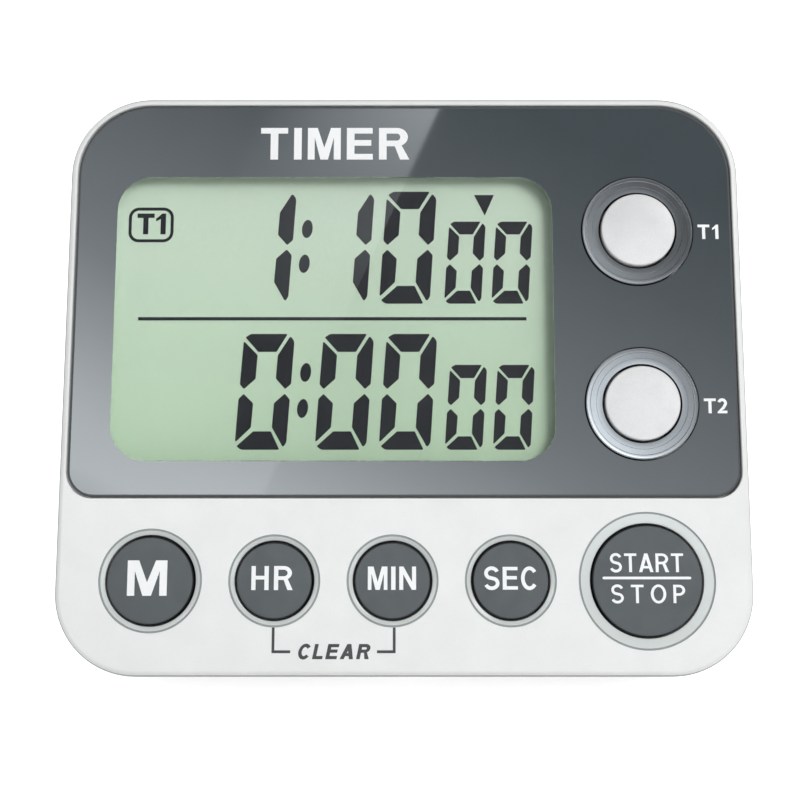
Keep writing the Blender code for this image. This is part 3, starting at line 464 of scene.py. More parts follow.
# Each finish's colour, roughness, scale and depth of grain, change of tone, and what else its shader takes
MOULDED = {
    "case_white": ((0.80, 0.81, 0.805), 0.42, 3800.0, 0.35, 0.022),
    # painted shade: a grey band on the turned front edge
    "case_edge_painted_shade": ((0.43, 0.44, 0.44), 0.42, 3800.0, 0.30, 0.03),
    "key_ring_white": ((0.625, 0.66, 0.65), 0.22, 2600.0, 0.05, 0.02),
    # painted shade: the dark line in the groove round each key's dish
    "groove_painted_shade": ((0.31, 0.335, 0.335), 0.5, 5200.0, 0.1, 0.05),
    "key_dark": ((0.059, 0.069, 0.077), 0.55, 4200.0, 0.25, 0.05),
    # painted shade: near black on cap edges and ring walls, darkening the gaps round them
    "key_edge": ((0.016, 0.018, 0.020), 0.55, 4200.0, 0.1, 0.1),
    "key_silver": ((0.655, 0.655, 0.66), 0.45, 4200.0, 0.5, 0.07, {"Metallic": 0.1}),
    # painted highlight: a lighter line on the lens border's bevelled edge, over its own gloss
    "panel_edge_painted_highlight": ((0.085, 0.09, 0.095), 0.4, 3000.0, 0.05, 0.03),
    "ink_white": ((0.90, 0.91, 0.92), 0.45, 6000.0, 0.1, 0.02),
    "ink_black": ((0.022, 0.022, 0.026), 0.5, 6000.0, 0.1, 0.1),
    "lcd_segment": ((0.020, 0.022, 0.028), 0.5, 5000.0, 0.05, 0.06, {"Specular_IOR_Level": 0.3}),
    "black_plastic": ((0.022, 0.022, 0.023), 0.5, 5200.0, 0.3, 0.12),
    "silicone": ((0.33, 0.34, 0.35), 0.75, 5200.0, 0.2, 0.05),
    "board_green": ((0.018, 0.16, 0.062), 0.32, 1400.0, 0.15, 0.12),
    "epoxy_black": ((0.012, 0.012, 0.013), 0.22, 1500.0, 0.2, 0.2),
    "steel": ((0.60, 0.60, 0.59), 0.28, 2500.0, 0.15, 0.04, {"Metallic": 1.0}),
    "brass": ((0.75, 0.57, 0.24), 0.28, 2500.0, 0.15, 0.05, {"Metallic": 1.0}),
    "ceramic": ((0.78, 0.76, 0.68), 0.5, 2500.0, 0.2, 0.03),
    "ferrite": ((0.075, 0.075, 0.08), 0.42, 2200.0, 0.5, 0.15, {"Metallic": 0.3}),
    "cell_label": ((0.03, 0.09, 0.30), 0.25, 2500.0, 0.05, 0.05),
    "cell_band": ((0.72, 0.55, 0.22), 0.25, 2500.0, 0.05, 0.05, {"Metallic": 0.7}),
    "wire_red": ((0.50, 0.02, 0.02), 0.42, 5200.0, 0.15, 0.08),
    "wire_black": ((0.02, 0.02, 0.02), 0.42, 5200.0, 0.15, 0.15),
}
FINISH = {name: moulded(name, *facts) for name, facts in MOULDED.items()}

# Tones of each trim ring at its left and at its right: a painted reflection, lighter at the left, with T1's
# ring painted darker than T2's
COLLAR_PAINTED_REFLECTION_TONES = {"t1": (0.38, 0.17), "t2": (0.50, 0.29)}


def panel_material():
    """Dark print seen through a polished surface: even gloss, so no grain in its normal."""
    m = Nodes("panel_print")
    base = m.ramp(m.noise(160.0, 3.0), [(0.3, (0.043, 0.056, 0.065)), (0.7, (0.046, 0.059, 0.069))])
    m.set(Base_Color=m.flecked(base, m.noise(5000.0, 2.0, 0.6), grey(0.96)))
    m.set(Roughness=m.spread(m.noise(90.0), 0.030, 0.040), IOR=1.8)
    return m.material


def lens_material():
    m = Nodes("lens_clear")
    m.set(Base_Color=m.ramp(m.noise(60.0), [(0.3, (0.985, 0.99, 0.99)), (0.7, grey(1.0))]))
    m.set(Roughness=0.0, Transmission_Weight=1.0, IOR=1.49)
    return m.material


def lcd_material():
    """Green film, lighter towards its top, and with a painted reflection lighter at its left."""
    m = Nodes("lcd_background")
    bottom, top = ((FACE @ Vector((0, y, GLASS_HIGH.z))).dot(UP) for y in (GLASS_LOW.y, GLASS_HIGH.y))
    height = m.along(UP, bottom, top)
    across = m.along(ACROSS, WINDOW_LOW.x * MM, WINDOW_HIGH.x * MM)
    base = m.ramp(height, [(0.1, (0.63, 0.862, 0.60)), (0.85, (0.775, 0.948, 0.765))])
    # painted reflection: a glare lighter at the left, darkest a little right of the middle
    base = m.multiply(base, m.ramp(across, [(0.1, grey(1.0)), (0.55, grey(0.90)), (1.0, grey(0.95))]))
    m.set(Base_Color=m.flecked(base, m.noise(1800.0, 3.0, 0.6), (0.955, 0.96, 0.955)))
    m.set(Roughness=m.spread(m.noise(700.0), 0.30, 0.42))
    m.set(Normal=m.bump(m.noise(5200.0), 0.12, 0.00001))
    return m.material


def painted_reflection_collar_material(name):
    """Satin plating on a trim ring, with a painted reflection: lighter at its left than at its right."""
    m = Nodes(f"collar_painted_reflection_{name}")
    x = KEY_PLACES[name].x
    across = m.along(ACROSS, (x - COLLAR_RADIUS) * MM, (x + COLLAR_RADIUS) * MM)
    left, right = (tuple(tone * tint for tint in (0.96, 1.0, 1.06)) for tone in COLLAR_PAINTED_REFLECTION_TONES[name])
    # painted reflection: the base runs from the lit left tone to the darker right tone
    base = m.ramp(across, [(0.05, left), (0.95, right)])
    m.set(Base_Color=m.flecked(base, m.noise(3000.0, 2.0, 0.6), grey(0.96)))
    m.set(Roughness=m.spread(m.noise(480.0), 0.115, 0.145), Metallic=0.9)
    return m.material


FINISH.update(panel_print=panel_material(), lens_clear=lens_material(), lcd_green=lcd_material())
FINISH.update({f"collar_{name}": painted_reflection_collar_material(name) for name in CHANNELS})


# ---- front case
def dish_cutter(bm, place, hole, dish):
    """The shallow pale ring round a key: a fine groove outside, then a slope down to the hole."""
    inner = dish - GROOVE
    groove = [(dish, -0.03), (dish - 0.04, -0.14), (inner + 0.02, -0.14), (inner - 0.03, -0.05)]
    slope = [(hole + 0.16, -0.16), (hole + 0.05, -0.21), (hole, -0.36), (hole - 0.4, -0.9)]
    lathe(bm, [(0, OVERCUT), (dish, OVERCUT), *groove, *slope, (0, -0.9)], place)


def front_shell():
    """The white front: walls, screw bosses, the panel's recess, and the holes and dishes for the keys."""
    front, split = CASE_HIGH.z, CASE_LOW.z
    profile = [(SPLIT_EDGE, split), (0.0, split + SPLIT_EDGE), *front_edge(FRONT_EDGE, front, 8)]
    case = plate(CASE_LOW, CASE_HIGH, (CORNER, CORNER), profile)
    inside = Vector((CASE_HIGH.x - WALL, CASE_HIGH.y - WALL))
    inner = CORNER - WALL
    case = boolean(case, plate(-inside, inside, (inner, inner), straight(split - OVERCUT, DECK_BACK)))
    pocket_high = Vector((inside.x, DECK_BOTTOM))
    pocket = plate(-inside, pocket_high, (0.5, inner), straight(DECK_BACK - OVERCUT, -WALL))
    case = boolean(case, pocket)
    bosses = bmesh.new()
    for places, radius, end in ((CASE_SCREWS, 2.4, split), (BOARD_SCREWS, 2.2, BOARD_FRONT + FIT)):
        for x, y in places:
            ceiling = -WALL if y < DECK_BOTTOM else DECK_BACK
            rod(bosses, (x, y), radius, end, ceiling + BURIED)
    case = boolean(case, bosses, "UNION")
    fit = Vector((FIT, FIT))
    rim = [(0, DECK_FRONT), (0, front - 0.08), (-0.08, front), (-0.2, front + OVERCUT)]
    case = boolean(case, plate(LENS_LOW.xy - fit, LENS_HIGH.xy + fit, LENS_RADII, rim))
    grow = Vector((1.1, 1.1))
    through = (DECK_BACK - OVERCUT, DECK_FRONT + OVERCUT)
    holes = plate(WINDOW_LOW - grow, WINDOW_HIGH + grow, (WINDOW_RADIUS,) * 2, straight(*through), 10)
    rods(holes, CHANNEL_PLACES, COLLAR_NECK + FIT, *through, 64)
    for name, (hole, _) in KEY_HOLES.items():
        rod(holes, KEY_PLACES[name], hole, -WALL - OVERCUT, OVERCUT, ROUND)
    rods(holes, CASE_SCREWS, 1.3, split - OVERCUT, PILOT_END, 24)
    rods(holes, BOARD_SCREWS, 1.05, BOARD_FRONT - OVERCUT, PILOT_END, 24)
    case = boolean(case, holes)
    dishes = bmesh.new()
    for name, (hole, dish) in KEY_HOLES.items():
        dish_cutter(dishes, KEY_PLACES[name], hole, dish)
    return boolean(case, dishes)


def front_finish(at, out):
    """Which finish a face of the front takes: 0 the case, 1 a key's ring, 2 its groove in a painted shade, 3
    the turned front edge in a grey band of painted shade.
    """
    if -0.55 < at.z < -0.002:
        for name, (_, dish) in KEY_HOLES.items():
            away = (at.xy - KEY_PLACES[name]).length
            if away < dish + 0.01:
                # the groove at the ring's outer edge takes a painted shade
                return 1 if away < dish - GROOVE - 0.02 else 2
    # the outer rounding of the front edge takes a grey band of painted shade
    steep = 0.80 if out.y > 0.5 else 0.66
    return 3 if 0.02 < out.z < steep and at.z > -FRONT_EDGE else 0


def make_front_case():
    case = front_shell()
    paint(case, front_finish)
    finishes = ["case_white", "key_ring_white", "groove_painted_shade", "case_edge_painted_shade"]
    piece("shell_front", case, finishes, "case", ["front_case"])


# ---- lens, print and display
def behind(corner, depth):
    """Where the eye's line through a place on the lens's front meets a depth behind it."""
    return EYE.xy + (corner - EYE.xy) * (EYE.z - depth) / (EYE.z - LENS_HIGH.z)


def well_inside(place, inset=2.0):
    """Whether a place on the lens is further in than inset from its straight sides or corners."""
    low, high = LENS_LOW, LENS_HIGH
    radius = LENS_RADII[0] if place.y > 0 else LENS_RADII[1]
    x = max(abs(place.x) - (high.x - radius), 0.0)
    y = max(place.y - (high.y - radius), (low.y + radius) - place.y, 0.0)
    return math.hypot(x, y) < radius - inset


def make_lens():
    """The lens: a dark printed frame, which takes the gloss and a painted highlight on its bevelled edge,
    round a clear window.
    """
    back, front = LENS_LOW.z, LENS_HIGH.z
    bevel = 0.20
    border = plate(LENS_LOW, LENS_HIGH, LENS_RADII, [(0.0, back), (0.0, front - bevel), (0.34, front)], 24)
    window = (WINDOW_LOW, WINDOW_HIGH, (WINDOW_RADIUS,) * 2)
    holes = plate(*window, [(-0.7, back - 0.1), (0, front), (0, front + OVERCUT)], 24)
    radius = COLLAR_RADIUS + FIT
    mouth = [(radius, front - 0.06), (radius + 0.06, front), (radius + 0.56, front + 0.5), (0, front + 0.5)]
    cut = [(0, back - OVERCUT), (radius, back - OVERCUT), *mouth]
    for place in CHANNEL_PLACES:
        lathe(holes, cut, place)
    border = boolean(border, holes)
    # the outer bevel and lip take a painted highlight, a lighter line round the panel's edge
    paint(border, lambda at, out: at.z > front - bevel and out.z < 0.99 and not well_inside(at))
    ring = piece("lens_border", border, ["panel_print", "panel_edge_painted_highlight"], "case", sharp=12)
    pane = plate(*window, [(-0.66, back), (0.03, front - 0.02)], 24)
    clear = piece("lens", pane, ["lens_clear"], "case", ["display_lens"], sharp=12)
    ring.visible_shadow = clear.visible_shadow = False
    return clear


def make_print():
    """The printed mask behind the lens, whose edge throws the shadow on the display."""
    layer = plate(LENS_LOW, LENS_HIGH, LENS_RADII, straight(PRINT_BACK, PRINT_FRONT), 24)
    through = (PRINT_BACK - OVERCUT, PRINT_FRONT + OVERCUT)
    low, high = behind(WINDOW_LOW, PRINT_FRONT), behind(WINDOW_HIGH, PRINT_FRONT)
    holes = plate(low, high, (WINDOW_RADIUS,) * 2, straight(*through), 16)
    rods(holes, CHANNEL_PLACES, COLLAR_RADIUS + FIT, *through, ROUND)
    piece("panel_layer", boolean(layer, holes), ["black_plastic"], "case", ["lens_print"])


def make_display():
    """The LCD's glass, with its polariser film set in a little on the front."""
    back, film = GLASS_LOW.z, GLASS_HIGH.z - 0.18
    profile = [(0.06, back), (0, back + 0.06), (0, film), (0.2, film), (0.22, GLASS_HIGH.z)]
    glass = plate(GLASS_LOW, GLASS_HIGH, (0.25, 0.25), profile, 3)
    piece("display_cell", glass, ["lcd_green"], "case", ["lcd_glass"])


# ---- display contents
SLANT = 0.0728
DIGIT_HEIGHT = 16.7
DIGIT_WIDTH = 7.31
SEGMENT_BASE = 16.6
SEGMENT_WIDTH = 7.55
# Outlines of the segments, as (x, depth below the digit's top, rounding), on an upright digit
SEGMENTS = {
    "a": [(0.20, 0.50, 0.12), (0.95, 0.0, 0.9), (6.42, 0.0, 0.12), (4.99, 2.60, 0.1), (2.29, 2.60, 0.1)],
    "f": [(0.0, 1.02, 0.12), (2.23, 3.06, 0.3), (2.24, 6.49, 0.3), (0.67, 7.96, 0.15), (0.0, 7.30, 0.4)],
    "b": [
        (6.84, 0.30, 0.18), (7.50, 1.05, 0.9), (7.55, 7.22, 0.4),
        (6.74, 7.96, 0.15), (5.23, 6.45, 0.3), (5.22, 3.12, 0.3),
    ],
    "e": [(0.70, 8.65, 0.15), (2.21, 10.0, 0.3), (2.20, 13.43, 0.3), (0.06, 15.60, 0.12), (0.0, 9.38, 0.4)],
    "c": [
        (6.74, 8.62, 0.15), (7.55, 9.46, 0.4), (7.60, 15.55, 0.9),
        (7.16, 16.28, 0.18), (5.28, 13.43, 0.3), (5.28, 9.98, 0.3),
    ],
    "d": [(2.57, 14.0, 0.1), (5.18, 14.0, 0.1), (6.66, 16.6, 0.12), (1.0, 16.6, 0.9), (0.33, 16.1, 0.12)],
}
DIGITS = {"0": "abcdef", "1": "bc"}
COLUMNS = (-24.15, -12.77, -3.70)
SMALL_COLUMNS = (5.70, 12.52)
SMALL_SCALE = 0.73
ROWS = {"upper": (11.3, "110"), "lower": (-9.85, "000")}
COLON_X, COLON_RISES, COLON_DOT = -14.90, (11.1, 5.9), (0.78, 1.36)


def add_digit(bm, digit, x, y, scale, span):
    for name in DIGITS[digit]:
        outline = []
        for px, depth, radius in SEGMENTS[name]:
            rise = (SEGMENT_BASE - depth) * DIGIT_HEIGHT / SEGMENT_BASE * scale
            across = px * DIGIT_WIDTH / SEGMENT_WIDTH * scale
            outline.append((x + across + rise * SLANT, y + rise, radius * scale))
        flat_shape(bm, [filleted(outline)], span)


def make_display_contents():
    """Both rows of digits, the line between them, the marker and the channel sign."""
    span = (GLASS_HIGH.z - 0.02, GLASS_HIGH.z + 0.03)
    for name, (y, digits) in ROWS.items():
        bm = bmesh.new()
        for x, digit in zip(COLUMNS, digits):
            add_digit(bm, digit, x, y, 1.0, span)
        for x in SMALL_COLUMNS:
            add_digit(bm, "0", x, y, SMALL_SCALE, span)
        for rise in COLON_RISES:
            upright = arc((COLON_X, rise), COLON_DOT, 0, 345, 23)
            flat_shape(bm, [[(px + SLANT * py, y + py) for px, py in upright]], span)
        marks(f"display_digits_{name}", bm, "lcd_segment", "case")
    bm = bmesh.new()
    flat_shape(bm, [[(-38.3, 8.83), (17.6, 8.83), (17.6, 9.31), (-38.3, 9.31)]], span)
    flat_shape(bm, [[(10.2, 27.5), (11.74, 24.4), (13.1, 27.5)]], span)
    sign = [rect_loop((-40.1, 20.4), (-33.56, 25.6), (1.5, 1.5), inset, 8) for inset in (0, 0.44)]
    flat_shape(bm, sign, span)
    add_word(bm, "T1", (-38.85, 21.6), (-34.70, 24.7), span, 0.24, (0.80, 0.46))
    marks("display_marks", bm, "lcd_segment", "case")


# ---- lettering
def stroke(points, width):
    """The two sides of a line of even width: one from its start to its end, the other back again."""
    points = [Vector(p) for p in points]
    out, back = [], []
    for k, here in enumerate(points):
        run = (points[min(k + 1, len(points) - 1)] - points[max(k - 1, 0)]).normalized()
        side = Vector((-run.y, run.x)) * width / 2
        out.append(tuple(here + side))
        back.insert(0, tuple(here - side))
    return out, back


def mirrored(half, width):
    """A symmetric outline from its left half. A point on the middle line isn't doubled."""
    return half + [(width - x, y) for x, y in reversed(half) if x < width / 2]


def bowl(letter_width, stem, bar, foot, steps=14):
    """Outer and inner outlines of the upper part of P and R, from the top of the stem round to its foot."""
    radius = (1 - foot) / 2
    across = min(radius * 1.15, letter_width - stem)
    x = letter_width - across
    outer = arc((x, 1 - radius), (across, radius), 90, -90, steps)
    inner = arc((x, 1 - radius), (across - stem, radius - bar), 90, -90, steps)
    return outer, [(stem, 1 - bar), *inner, (stem, foot + bar)]


def glyph(letter, w, s, b):
    """Outlines of a plain upright letter, one unit high and w wide, with stems s and bars b thick."""
    if letter == "T":
        edge = (w - s) / 2
        return [mirrored([(0, 1), (0, 1 - b), (edge, 1 - b), (edge, 0)], w)]
    if letter == "I":
        return [[(0, 0), (w, 0), (w, 1), (0, 1)]]
    if letter == "L":
        return [[(0, 0), (w, 0), (w, b), (s, b), (s, 1), (0, 1)]]
    if letter == "H":
        low, high = 0.5 - b * 0.4, 0.5 + b * 0.6
        return [mirrored([(s, high), (s, 1), (0, 1), (0, 0), (s, 0), (s, low)], w)]
    if letter == "E":
        low, high, middle_arm, top_arm = 0.5 - b * 0.35, 0.5 + b * 0.65, w * 0.94, w * 0.99
        lower = [(0, 0), (w, 0), (w, b), (s, b), (s, low), (middle_arm, low)]
        return [lower + [(middle_arm, high), (s, high), (s, 1 - b), (top_arm, 1 - b), (top_arm, 1), (0, 1)]]
    if letter == "N":
        half = [(0, 0), (s, 0), (s, 0.66), (w - s * 1.05, 0), (w, 0)]
        return [half + [(w - x, 1 - y) for x, y in half]]
    if letter == "M":
        flat, point, leg = s * 0.42 + w * 0.2, s * 0.28 + w * 0.05, s * 0.9
        notch = (w / 2, 0.25 + s * 0.55)
        half = [notch, (flat, 1), (0, 1), (0, 0), (leg, 0), (leg, 0.70), (w / 2 - point, 0)]
        return [mirrored(half, w)]
    if letter == "A":
        lean, leg = w / 2 - s * 0.56, s * 1.12
        low, high = 0.2, 0.2 + b * 0.95
        peak = (w / 2, (w / 2 - leg) / lean)
        outer = [(lean, 1), (0, 0), (leg, 0), (leg + lean * low, low)]
        return [mirrored(outer, w), mirrored([peak, (leg + lean * high, high)], w)]
    if letter == "P":
        outer, inner = bowl(w, s, b, 0.40)
        return [[(0, 0), (0, 1), *outer, (s, 0.40), (s, 0)], inner]
    if letter == "R":
        outer, inner = bowl(w * 0.95, s, b, 0.42)
        leg = [(w * 0.74, 0.45), (w, 0), (w - s * 1.22, 0), (w * 0.52, 0.42)]
        return [[(0, 0), (0, 1), *outer[:-2], *leg, (s, 0.42), (s, 0)], inner]
    if letter == "O":
        return [arc((w / 2, 0.5), (w / 2 - x, 0.515 - y), 0, 352.5, 47) for x, y in ((0, 0), (s, b))]
    if letter == "C":
        out, back = stroke(arc((w * 0.52, 0.5), (w * 0.52 - s / 2, 0.515 - b / 2), 38, 322, 30), (s + b) / 2)
        return [out + back]
    if letter == "S":
        across, rise = (w - s) / 2, (1.03 - b) / 4
        upper = arc((w / 2, 0.5 + rise), (across * 0.95, rise), 18, 238, 20)
        lower = arc((w / 2, 0.5 - rise), (across, rise), 58, -162, 20)
        out, back = stroke(upper + lower, (s + b) / 2)
        return [out + back]
    if letter == "1":
        flag = [(w - s * 0.75, 1), (w - s * 1.35, 0.86), (0, 0.76), (0, 0.62), (w - s, 0.74)]
        return [[(w - s, 0), (w, 0), (w, 1), *flag]]
    if letter == "2":
        line = arc((w / 2, 0.69), (w / 2 - s / 2, 0.315 - b / 2), 165, -30, 18)
        out, back = stroke(line + [(w * 0.60, 0.36), (w * 0.33, b)], (s + b) / 2)
        return [[*out[:-1], (w * 0.42, b), (w, b), (w, 0), (0, 0), (0, b * 0.5), *back[1:]]]
    raise ValueError(letter)


def add_word(bm, word, low_corner, high_corner, span, stem, widths, bar=None, slant=0.0, lift=None):
    """A word fitted between two corners: letters keep their widths and the gaps take up the rest."""
    (x0, y0), (x1, y1) = low_corner, high_corner
    cap = y1 - y0
    gap = ((x1 - x0) / cap - slant - sum(widths)) / max(len(word) - 1, 1)
    at = 0.0
    for letter, width in zip(word, widths):
        loops = []
        for loop in glyph(letter, width, stem, bar or stem * 0.86):
            loops.append([(x0 + (at + x + slant * y) * cap, y0 + y * cap) for x, y in loop])
        flat_shape(bm, loops, span, lift)
        at += width + gap


def on_lens(x, y):
    """A place seen on the print, carried forward along the line of sight to the lens's front."""
    share = (EYE.z - LENS_HIGH.z) / (EYE.z - PRINT_FRONT)
    return EYE.xy + (Vector((x, y)) - EYE.xy) * share


def make_lens_legends():
    """Words on the panel. Their corners are places on the print, as the eye sees them through the lens."""
    words = {
        "title": ("TIMER", (-20.91, 32.46), (0.76, 37.26), 0.232, (0.823, 0.232, 1.0, 0.79, 0.925), 0.178),
        "t1": ("T1", (42.37, 20.55), (45.35, 22.68), 0.21, (0.8, 0.42)),
        "t2": ("T2", (42.38, -4.80), (45.66, -2.69), 0.21, (0.8, 0.66)),
    }
    span = (LENS_HIGH.z - 0.02, LENS_HIGH.z + 0.02)
    for name, (word, low_corner, high_corner, *form) in words.items():
        bm = bmesh.new()
        add_word(bm, word, on_lens(*low_corner), on_lens(*high_corner), span, *form)
        marks(f"legend_{name}", bm, "ink_white", "case")


def make_case_legends():
    """The word under the keys, and the bracket that ties it to two of them."""
    span = (-0.02, 0.02)
    bm = bmesh.new()
    widths = (0.82, 0.68, 0.76, 0.90, 0.86)
    add_word(bm, "CLEAR", (-14.60, -38.68), (-4.38, -36.66), span, 0.245, widths, slant=0.21)
    marks("legend_clear", bm, "ink_black", "case")
    bm = bmesh.new()
    head, foot, half = -34.46, -37.69, 0.19
    for edge, inner in ((-17.84, -15.49), (-1.36, -3.70)):
        side = math.copysign(half, inner - edge)
        tail = [(inner, foot - half), (inner, foot + half), (edge + side, foot + half), (edge + side, head)]
        flat_shape(bm, [[(edge - side, head), (edge - side, foot - half), *tail]], span)
    marks("legend_bracket", bm, "ink_black", "case")


# ---- keys
def cap_shape(radius, crown, drop, flange_front, stem_back):
    """Profile of a key cap: crowned top, rounded edge, skirt, retaining flange and stem."""
    flat = radius - CAP_EDGE
    top = [(flat * k / 10, crown - drop * (k / 10) ** 2) for k in range(11)]
    edge = arc((flat, crown - drop - CAP_EDGE), (CAP_EDGE, CAP_EDGE), 78, 0, 6)
    flange, flange_back, stem = radius + CAP_GAP + 0.8, flange_front - 0.7, 2.6
    outer = [(radius, flange_front), (flange, flange_front), (flange, flange_back)]
    return top + edge + outer + [(stem, flange_back), (stem, stem_back), (0, stem_back)]


# Each key's words: corners, stem, and the width of each letter
LEGENDS = {
    "m": [("M", (-37.85, -30.18), (-32.42, -25.39), 0.235, (1.134,))],
    "hr": [("HR", (-20.89, -29.41), (-15.23, -26.16), 0.18, (0.73, 0.79))],
    "min": [("MIN", (-4.97, -29.38), (1.62, -26.23), 0.175, (0.85, 0.19, 0.73))],
    "sec": [("SEC", (10.88, -29.35), (18.21, -26.27), 0.175, (0.70, 0.67, 0.735))],
    "start_stop": [
        ("START", (28.14, -26.99), (38.23, -24.45), 0.158, (0.66, 0.66, 0.78, 0.72, 0.66)),
        ("STOP", (28.23, -31.17), (38.36, -28.69), 0.158, (0.70, 0.70, 0.85, 0.66)),
    ],
}


def make_keys():
    for name in (*KEY_HOLES, *CHANNELS):
        place = KEY_PLACES[name]
        back = local_box(f"key_{name}")[0].z
        if name in CHANNELS:
            radius, crown, drop, flange = COLLAR_BORE - 0.27, CHANNEL_CROWN, CHANNEL_DROP, -3.7
            finishes, slot = ["key_silver"] * 2, "key_silver"
        else:
            radius, crown, drop, flange = KEY_HOLES[name][0] - CAP_GAP, KEY_CROWN, KEY_DROP, -2.3
            finishes, slot = ["key_dark", "key_edge"], "key_dark"
        bm = lathe(bmesh.new(), cap_shape(radius, crown, drop, flange, back), place)
        flat, shoulder = radius - CAP_EDGE, crown - drop - CAP_EDGE
        # the cap's rounded edge and skirt take painted shade, darkening the gap round the key
        paint(bm, lambda at, _: (at.xy - place).length > flat + CAP_EDGE * 0.6 or at.z < shoulder)
        piece(f"cap_{name}", bm, finishes, f"{name}_key", [f"key_{name}"])
        if name in CHANNELS:
            continue

        def crown_height(x, y):
            return crown - drop * (Vector((x, y)) - place).length_squared / flat**2

        bm = bmesh.new()
        span = (-0.04, 0.02)
        for words in LEGENDS[name]:
            add_word(bm, *words[:3], span, *words[3:], lift=crown_height)
        if name == "start_stop":
            bar = rect_loop((27.12, -27.96), (39.26, -27.60), (0.18, 0.18), 0, 5)
            flat_shape(bm, [bar], span, crown_height)
        marks(f"legend_{name}", bm, "ink_white", f"{name}_key")


def make_collars():
    """Nearly flat grey rings with a fine raised rim and turned lines."""
    top = [(6.38, 0.11), (6.42, 0.075), (6.46, 0.11), (7.22, 0.10), (7.30, 0.19, 0.02), (7.68, 0.17, 0.06)]
    bore = [(COLLAR_BORE, -0.90), (COLLAR_BORE + 0.08, 0.12, 0.05)]
    neck = [(COLLAR_NECK, -1.95), (COLLAR_NECK, DECK_BACK), (COLLAR_BORE, DECK_BACK)]
    profile = [*bore, *top, (COLLAR_RADIUS, 0.06, 0.06), (COLLAR_RADIUS, -1.95), *neck]
    for name in CHANNELS:
        bm = lathe(bmesh.new(), filleted(profile), KEY_PLACES[name], cyclic=True)
        # the bore and the outer wall below the panel's face take painted shade
        paint(bm, lambda at, _: at.z < -0.02)
        finishes = [f"collar_{name}", "key_edge"]
        piece(f"trim_ring_{name}", bm, finishes, "case", [f"collar_{name}"], sharp=12)


# ---- rear case
BAY_LOW, BAY_HIGH, BAY_CEILING = Vector((-31.0, 15.9)), Vector((21.0, 28.1)), -8.5
DOOR_LOW, DOOR_HIGH = local_box("battery_door")
RECESS_HALF, RECESS_FOOT, RECESS_HEAD, RECESS_FLOOR = 17.0, -39.7, 3.7, -15.95
WELL_TOP = -13.0
HINGE_BORE = 0.9
STAND_OPEN = 37.0  # degrees from folded, at rest
PIN = middle("stand_pin")
CHAMFER = 0.2


def flared(low, high, radii, top, steps=6):
    """A pocket cutter from behind the rear face up to top, with its rim's edge broken."""
    rear = REAR_LOW.z
    profile = [(-CHAMFER * 2, rear - OVERCUT), (-CHAMFER, rear), (0, rear + CHAMFER), (0, top)]
    return plate(low, high, radii, profile, steps)


def well(bm, place, radius, top, steps=48):
    """A round pocket cutter like flared()."""
    rear = REAR_LOW.z
    rim = [(radius + CHAMFER * 2, rear - OVERCUT), (radius + CHAMFER, rear), (radius, rear + CHAMFER)]
    return lathe(bm, [(0, rear - OVERCUT), *rim, (radius, top), (0, top)], place, steps)


def rear_shell():
    """The back's walls, and the blocks inside that carry the stand, the cell, screws and magnets."""
    rear, front = REAR_LOW.z, CASE_LOW.z - FIT
    profile = [*back_edge(REAR_EDGE, rear, 6), (0, front - SPLIT_EDGE), (SPLIT_EDGE, front)]
    case = plate(REAR_LOW, REAR_HIGH, (CORNER, CORNER), profile)
    inside = Vector((REAR_HIGH.x - WALL, REAR_HIGH.y - WALL))
    cavity = [(1.2, REAR_INSIDE), (0, REAR_INSIDE + 1.2), (0, front + OVERCUT)]
    case = boolean(case, plate(-inside, inside, (CORNER - WALL,) * 2, cavity))
    buried = REAR_INSIDE - BURIED
    blocks = bmesh.new()
    box(blocks, (-20.2, REAR_LOW.y + WALL - BURIED, buried), (20.2, RECESS_HEAD + 1.5, RECESS_FLOOR + 1.5))
    box(blocks, (BAY_LOW.x - 1, BAY_LOW.y - 1, buried), (BAY_HIGH.x + 1, BAY_HIGH.y + 1, BAY_CEILING + 1))
    rods(blocks, CASE_SCREWS, 3.2, buried, front)
    rods(blocks, MAGNETS.values(), 7.3, buried, rear + 4.0)
    return boolean(case, blocks, "UNION")


def rear_hollows():
    """What opens at the rear: the bay, screw and magnet wells, sound holes and a thumbnail's notch."""
    rear = REAR_LOW.z
    hollows = bmesh.new()
    box(hollows, (*BAY_LOW, rear - OVERCUT), (*BAY_HIGH, BAY_CEILING))
    for place in CASE_SCREWS:
        well(hollows, place, 2.2, WELL_TOP, 32)
    for place in MAGNETS.values():
        well(hollows, place, 6.15, rear + 3.0, 64)
    mouth = [(1.2, rear - OVERCUT), (0.95, rear), (0.8, rear + 0.15), (0.8, REAR_INSIDE + OVERCUT)]
    mouth = [(0, rear - OVERCUT), *mouth, (0, REAR_INSIDE + OVERCUT)]
    for offset in [Vector((0, 0))] + [polar(3.2, 60 * k) for k in range(6)]:
        lathe(hollows, mouth, SOUNDER + offset, 24)
    nail = Vector((DOOR_HIGH.x + FIT, (DOOR_LOW.y + DOOR_HIGH.y) / 2))
    dip = [(4.2, -OVERCUT), (3.9, 0), (3.3, 0.7), (2.6, 1.1), (0, 1.1)]
    lathe(hollows, [(radius, rear + depth) for radius, depth in [(0, -OVERCUT), *dip]], nail, 48)
    return hollows


